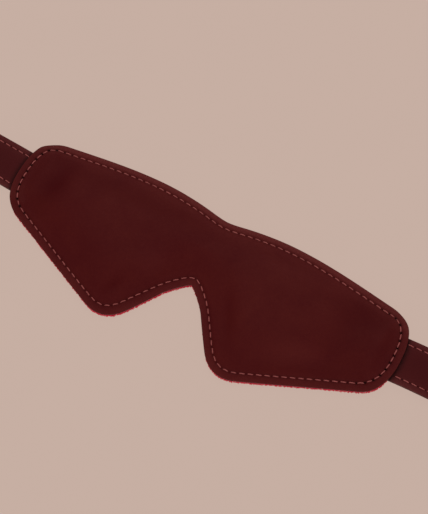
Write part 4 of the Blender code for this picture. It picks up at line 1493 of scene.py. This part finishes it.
def make_rivets():
    """Two rivets through the turned-back end, each a domed cap over a tube with a foot."""
    root = strap_root(-1)
    top = BUCKLE_STRAP_MID_Z + STRAP_THICK / 2
    bottom = BUCKLE_STRAP_MID_Z - STRAP_THICK / 2
    dome = [(radius, top + rise) for radius, rise in CAP_PROFILE]
    foot = [(radius, bottom + rise) for radius, rise in FOOT_PROFILE]
    for number, place in enumerate(RIVET_PLACES, 1):
        cap = turned_piece(f"rivet_{number}_domed_cap", dome, place, root)
        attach(cap, "buckle_strap_2")
        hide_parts(f"rivet_{number}_cap")
        post = turned_piece(f"rivet_{number}_tube_and_foot", foot, place, root)
        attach(post, "buckle_strap_2")
        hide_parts(f"rivet_{number}_post")


def buckle_root():
    """The buckle's bar, with the frame tilted so that its toe rests on the floor."""
    tilt = math.asin((BUCKLE_STRAP_MID_Z - WIRE_RADIUS) / FRAME_LENGTH)
    bar = Matrix.Translation((BAR_AT, 0.0, BUCKLE_STRAP_MID_Z))
    return strap_root(-1) @ bar @ Matrix.Rotation(tilt, 4, "Y")


def make_buckle_frame():
    """The wire frame, a rounded rectangle, slightly flattened on top at the toe."""
    toe_u = FRAME_LENGTH - FRAME_CORNER
    toe_v = FRAME_HALF - FRAME_CORNER
    bar_v = FRAME_HALF - BAR_CORNER
    corners = [
        (toe_u, toe_v, FRAME_CORNER, 0),
        (BAR_CORNER, bar_v, BAR_CORNER, 90),
        (BAR_CORNER, -bar_v, BAR_CORNER, 180),
        (toe_u, -toe_v, FRAME_CORNER, 270),
    ]
    path = []
    for u, v, radius, turn in corners:
        for k in range(10):
            a = math.radians(turn + 10 * k)
            path.append((u + radius * math.cos(a), v + radius * math.sin(a)))
    path = respaced(path, 0.9, True)
    along = unit(np.roll(path, -1, axis=0) - np.roll(path, 1, axis=0))
    outward = np.column_stack([along[:, 1], -along[:, 0]])
    sides = 18
    points = []
    for p, out in zip(path, outward):
        toe = float(smooth_step((p[0] - 0.75 * FRAME_LENGTH) / (0.2 * FRAME_LENGTH)))
        for k in range(sides):
            a = 2 * math.pi * k / sides
            u, v = p + out * WIRE_RADIUS * math.cos(a)
            points.append((u, v, WIRE_RADIUS * (1.0 - TOE_FLATTER * toe) * math.sin(a)))
    points = turned_out(buckle_root(), points)
    faces = tube_faces(0, sides, len(path), closed=True)
    buckle = new_piece("buckle_wire_frame", points, faces, [BRASS_FINISH])
    buckle.data.shade_smooth()
    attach(buckle, "buckle_frame")
    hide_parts("buckle_frame")


def make_prong():
    """The prong: a flat bar with rounded edges, curled round the buckle's bar, with a slim tip."""
    radius = WIRE_RADIUS + PRONG_ROOM + PRONG_THICK / 2
    curl = np.radians(np.linspace(20, -270, 44))
    line = [(radius * math.cos(a), radius * math.sin(a)) for a in curl]
    line += [(u, radius) for u in np.linspace(1.0, PRONG_REACH - 2.0, 14)]
    for back, down in ((1.2, 0.03), (0.5, 0.1), (0.0, 0.2)):
        line.append((PRONG_REACH - back, radius - down))
    line = np.array(line)
    along = unit(np.gradient(line, axis=0))
    points = []
    sides = 16
    for (u, z), (du, dz) in zip(line, along):
        slim = 1.0 - 0.3 * float(smooth_step((u - 6.0) / 10.0))
        end = math.sqrt(max(0.02, 1.0 - max(0.0, (u - PRONG_REACH + 1.4) / 1.42) ** 2))
        half = PRONG_HALF * slim * end
        thick = PRONG_THICK / 2 * (0.45 + 0.55 * end)
        for k in range(sides):
            a = 2 * math.pi * (k + 0.5) / sides
            across = half * math.copysign(abs(math.cos(a)) ** 0.55, math.cos(a))
            out = thick * math.copysign(abs(math.sin(a)) ** 0.55, math.sin(a))
            points.append((u - dz * out, across, z + du * out))
    faces = [(b, a, d, c) for a, b, c, d in tube_faces(0, sides, len(line))]
    faces.append(tuple(range(sides)))
    last = sides * (len(line) - 1)
    faces.append(tuple(range(last + sides - 1, last - 1, -1)))
    points = turned_out(buckle_root(), points)
    prong = new_piece("buckle_curled_prong", points, faces, [BRASS_FINISH])
    prong.data.shade_smooth()
    prong.data.set_sharp_from_angle(angle=math.radians(50))
    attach(prong, "buckle_prong")
    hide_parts("buckle_prong")


# ---------------------------------------------------------------- floor, light and camera


def make_floor():
    """A plain floor, lit partly from itself so that the shadows on it stay faint."""
    finish, tree, shader = new_finish("plain_floor")
    tone = noise(tree, own_place(tree), 0.02, 2.0)
    shade = tint(tree, tone, FLOOR_COLOUR, tuple(0.985 * c for c in FLOOR_COLOUR))
    lit = (*[(1 - FLOOR_GLOW) * c for c in FLOOR_COLOUR], 1.0)
    fill(tree, shader, Emission_Color=shade, Emission_Strength=FLOOR_GLOW)
    fill(tree, shader, Base_Color=lit, Roughness=0.95, Specular_IOR_Level=0.0)
    corners = np.array([(-1, -1, 0), (1, -1, 0), (1, 1, 0), (-1, 1, 0)]) * FLOOR_REACH * MM
    floor = add_object("floor", mesh_of("floor", corners, [(0, 1, 2, 3)], [finish]))
    floor.location.z = -FLOOR_DROP * MM


def soft_light(name, place, size, power, colour):
    """A broad square light that faces the middle of the mask."""
    lamp = bpy.data.lights.new(name, "AREA")
    lamp.shape = "SQUARE"
    lamp.size = size
    lamp.energy = power
    lamp.color = colour
    holder = add_object(name, lamp)
    holder.location = place
    holder.rotation_euler = (-Vector(place)).to_track_quat("-Z", "Y").to_euler()


def light_scene():
    """Even light from all round, a broad light at the brow and a fill from below."""
    world = bpy.data.worlds.new("studio")
    bpy.context.scene.world = world
    world.use_nodes = True
    background = world.node_tree.nodes["Background"]
    fill(world.node_tree, background, Color=(1.0, 0.985, 0.97, 1.0), Strength=0.55)
    soft_light("brow_light", (-0.3, 0.8, 1.4), 0.9, 8.5, (1.0, 0.98, 0.96))
    soft_light("low_fill", (0.5, -1.3, 0.7), 1.4, 7.0, (1.0, 0.99, 0.98))


def place_camera():
    """The camera looks down at the mask from the nose's side and a little from the right."""
    azimuth = math.radians(VIEW_AZIMUTH)
    elevation = math.radians(VIEW_ELEVATION)
    level = math.cos(elevation)
    back = Vector((math.sin(azimuth) * level, -math.cos(azimuth) * level, math.sin(elevation)))
    lens = bpy.data.cameras.new("camera")
    lens.lens = VIEW_LENS
    lens.sensor_width = 36.0
    lens.clip_start = 0.01
    lens.clip_end = 20.0
    camera = add_object("camera", lens)
    camera.location = Vector(VIEW_AIM) * MM + back * VIEW_DISTANCE * MM
    camera.rotation_euler = (-back).to_track_quat("-Z", "Y").to_euler()
    bpy.context.scene.camera = camera
    bpy.context.scene.view_settings.view_transform = "Standard"


make_mask()
make_hole_strap()
make_buckle_strap()
make_keeper("fixed_keeper_band", "fixed_keeper_loop", FIXED_KEEPER_AT, "buckle_strap_2")
make_keeper("sliding_keeper_band", "sliding_keeper_loop", SLIDING_KEEPER_AT, "sliding_keeper")
make_rivets()
make_buckle_frame()
make_prong()
make_floor()
light_scene()
place_camera()
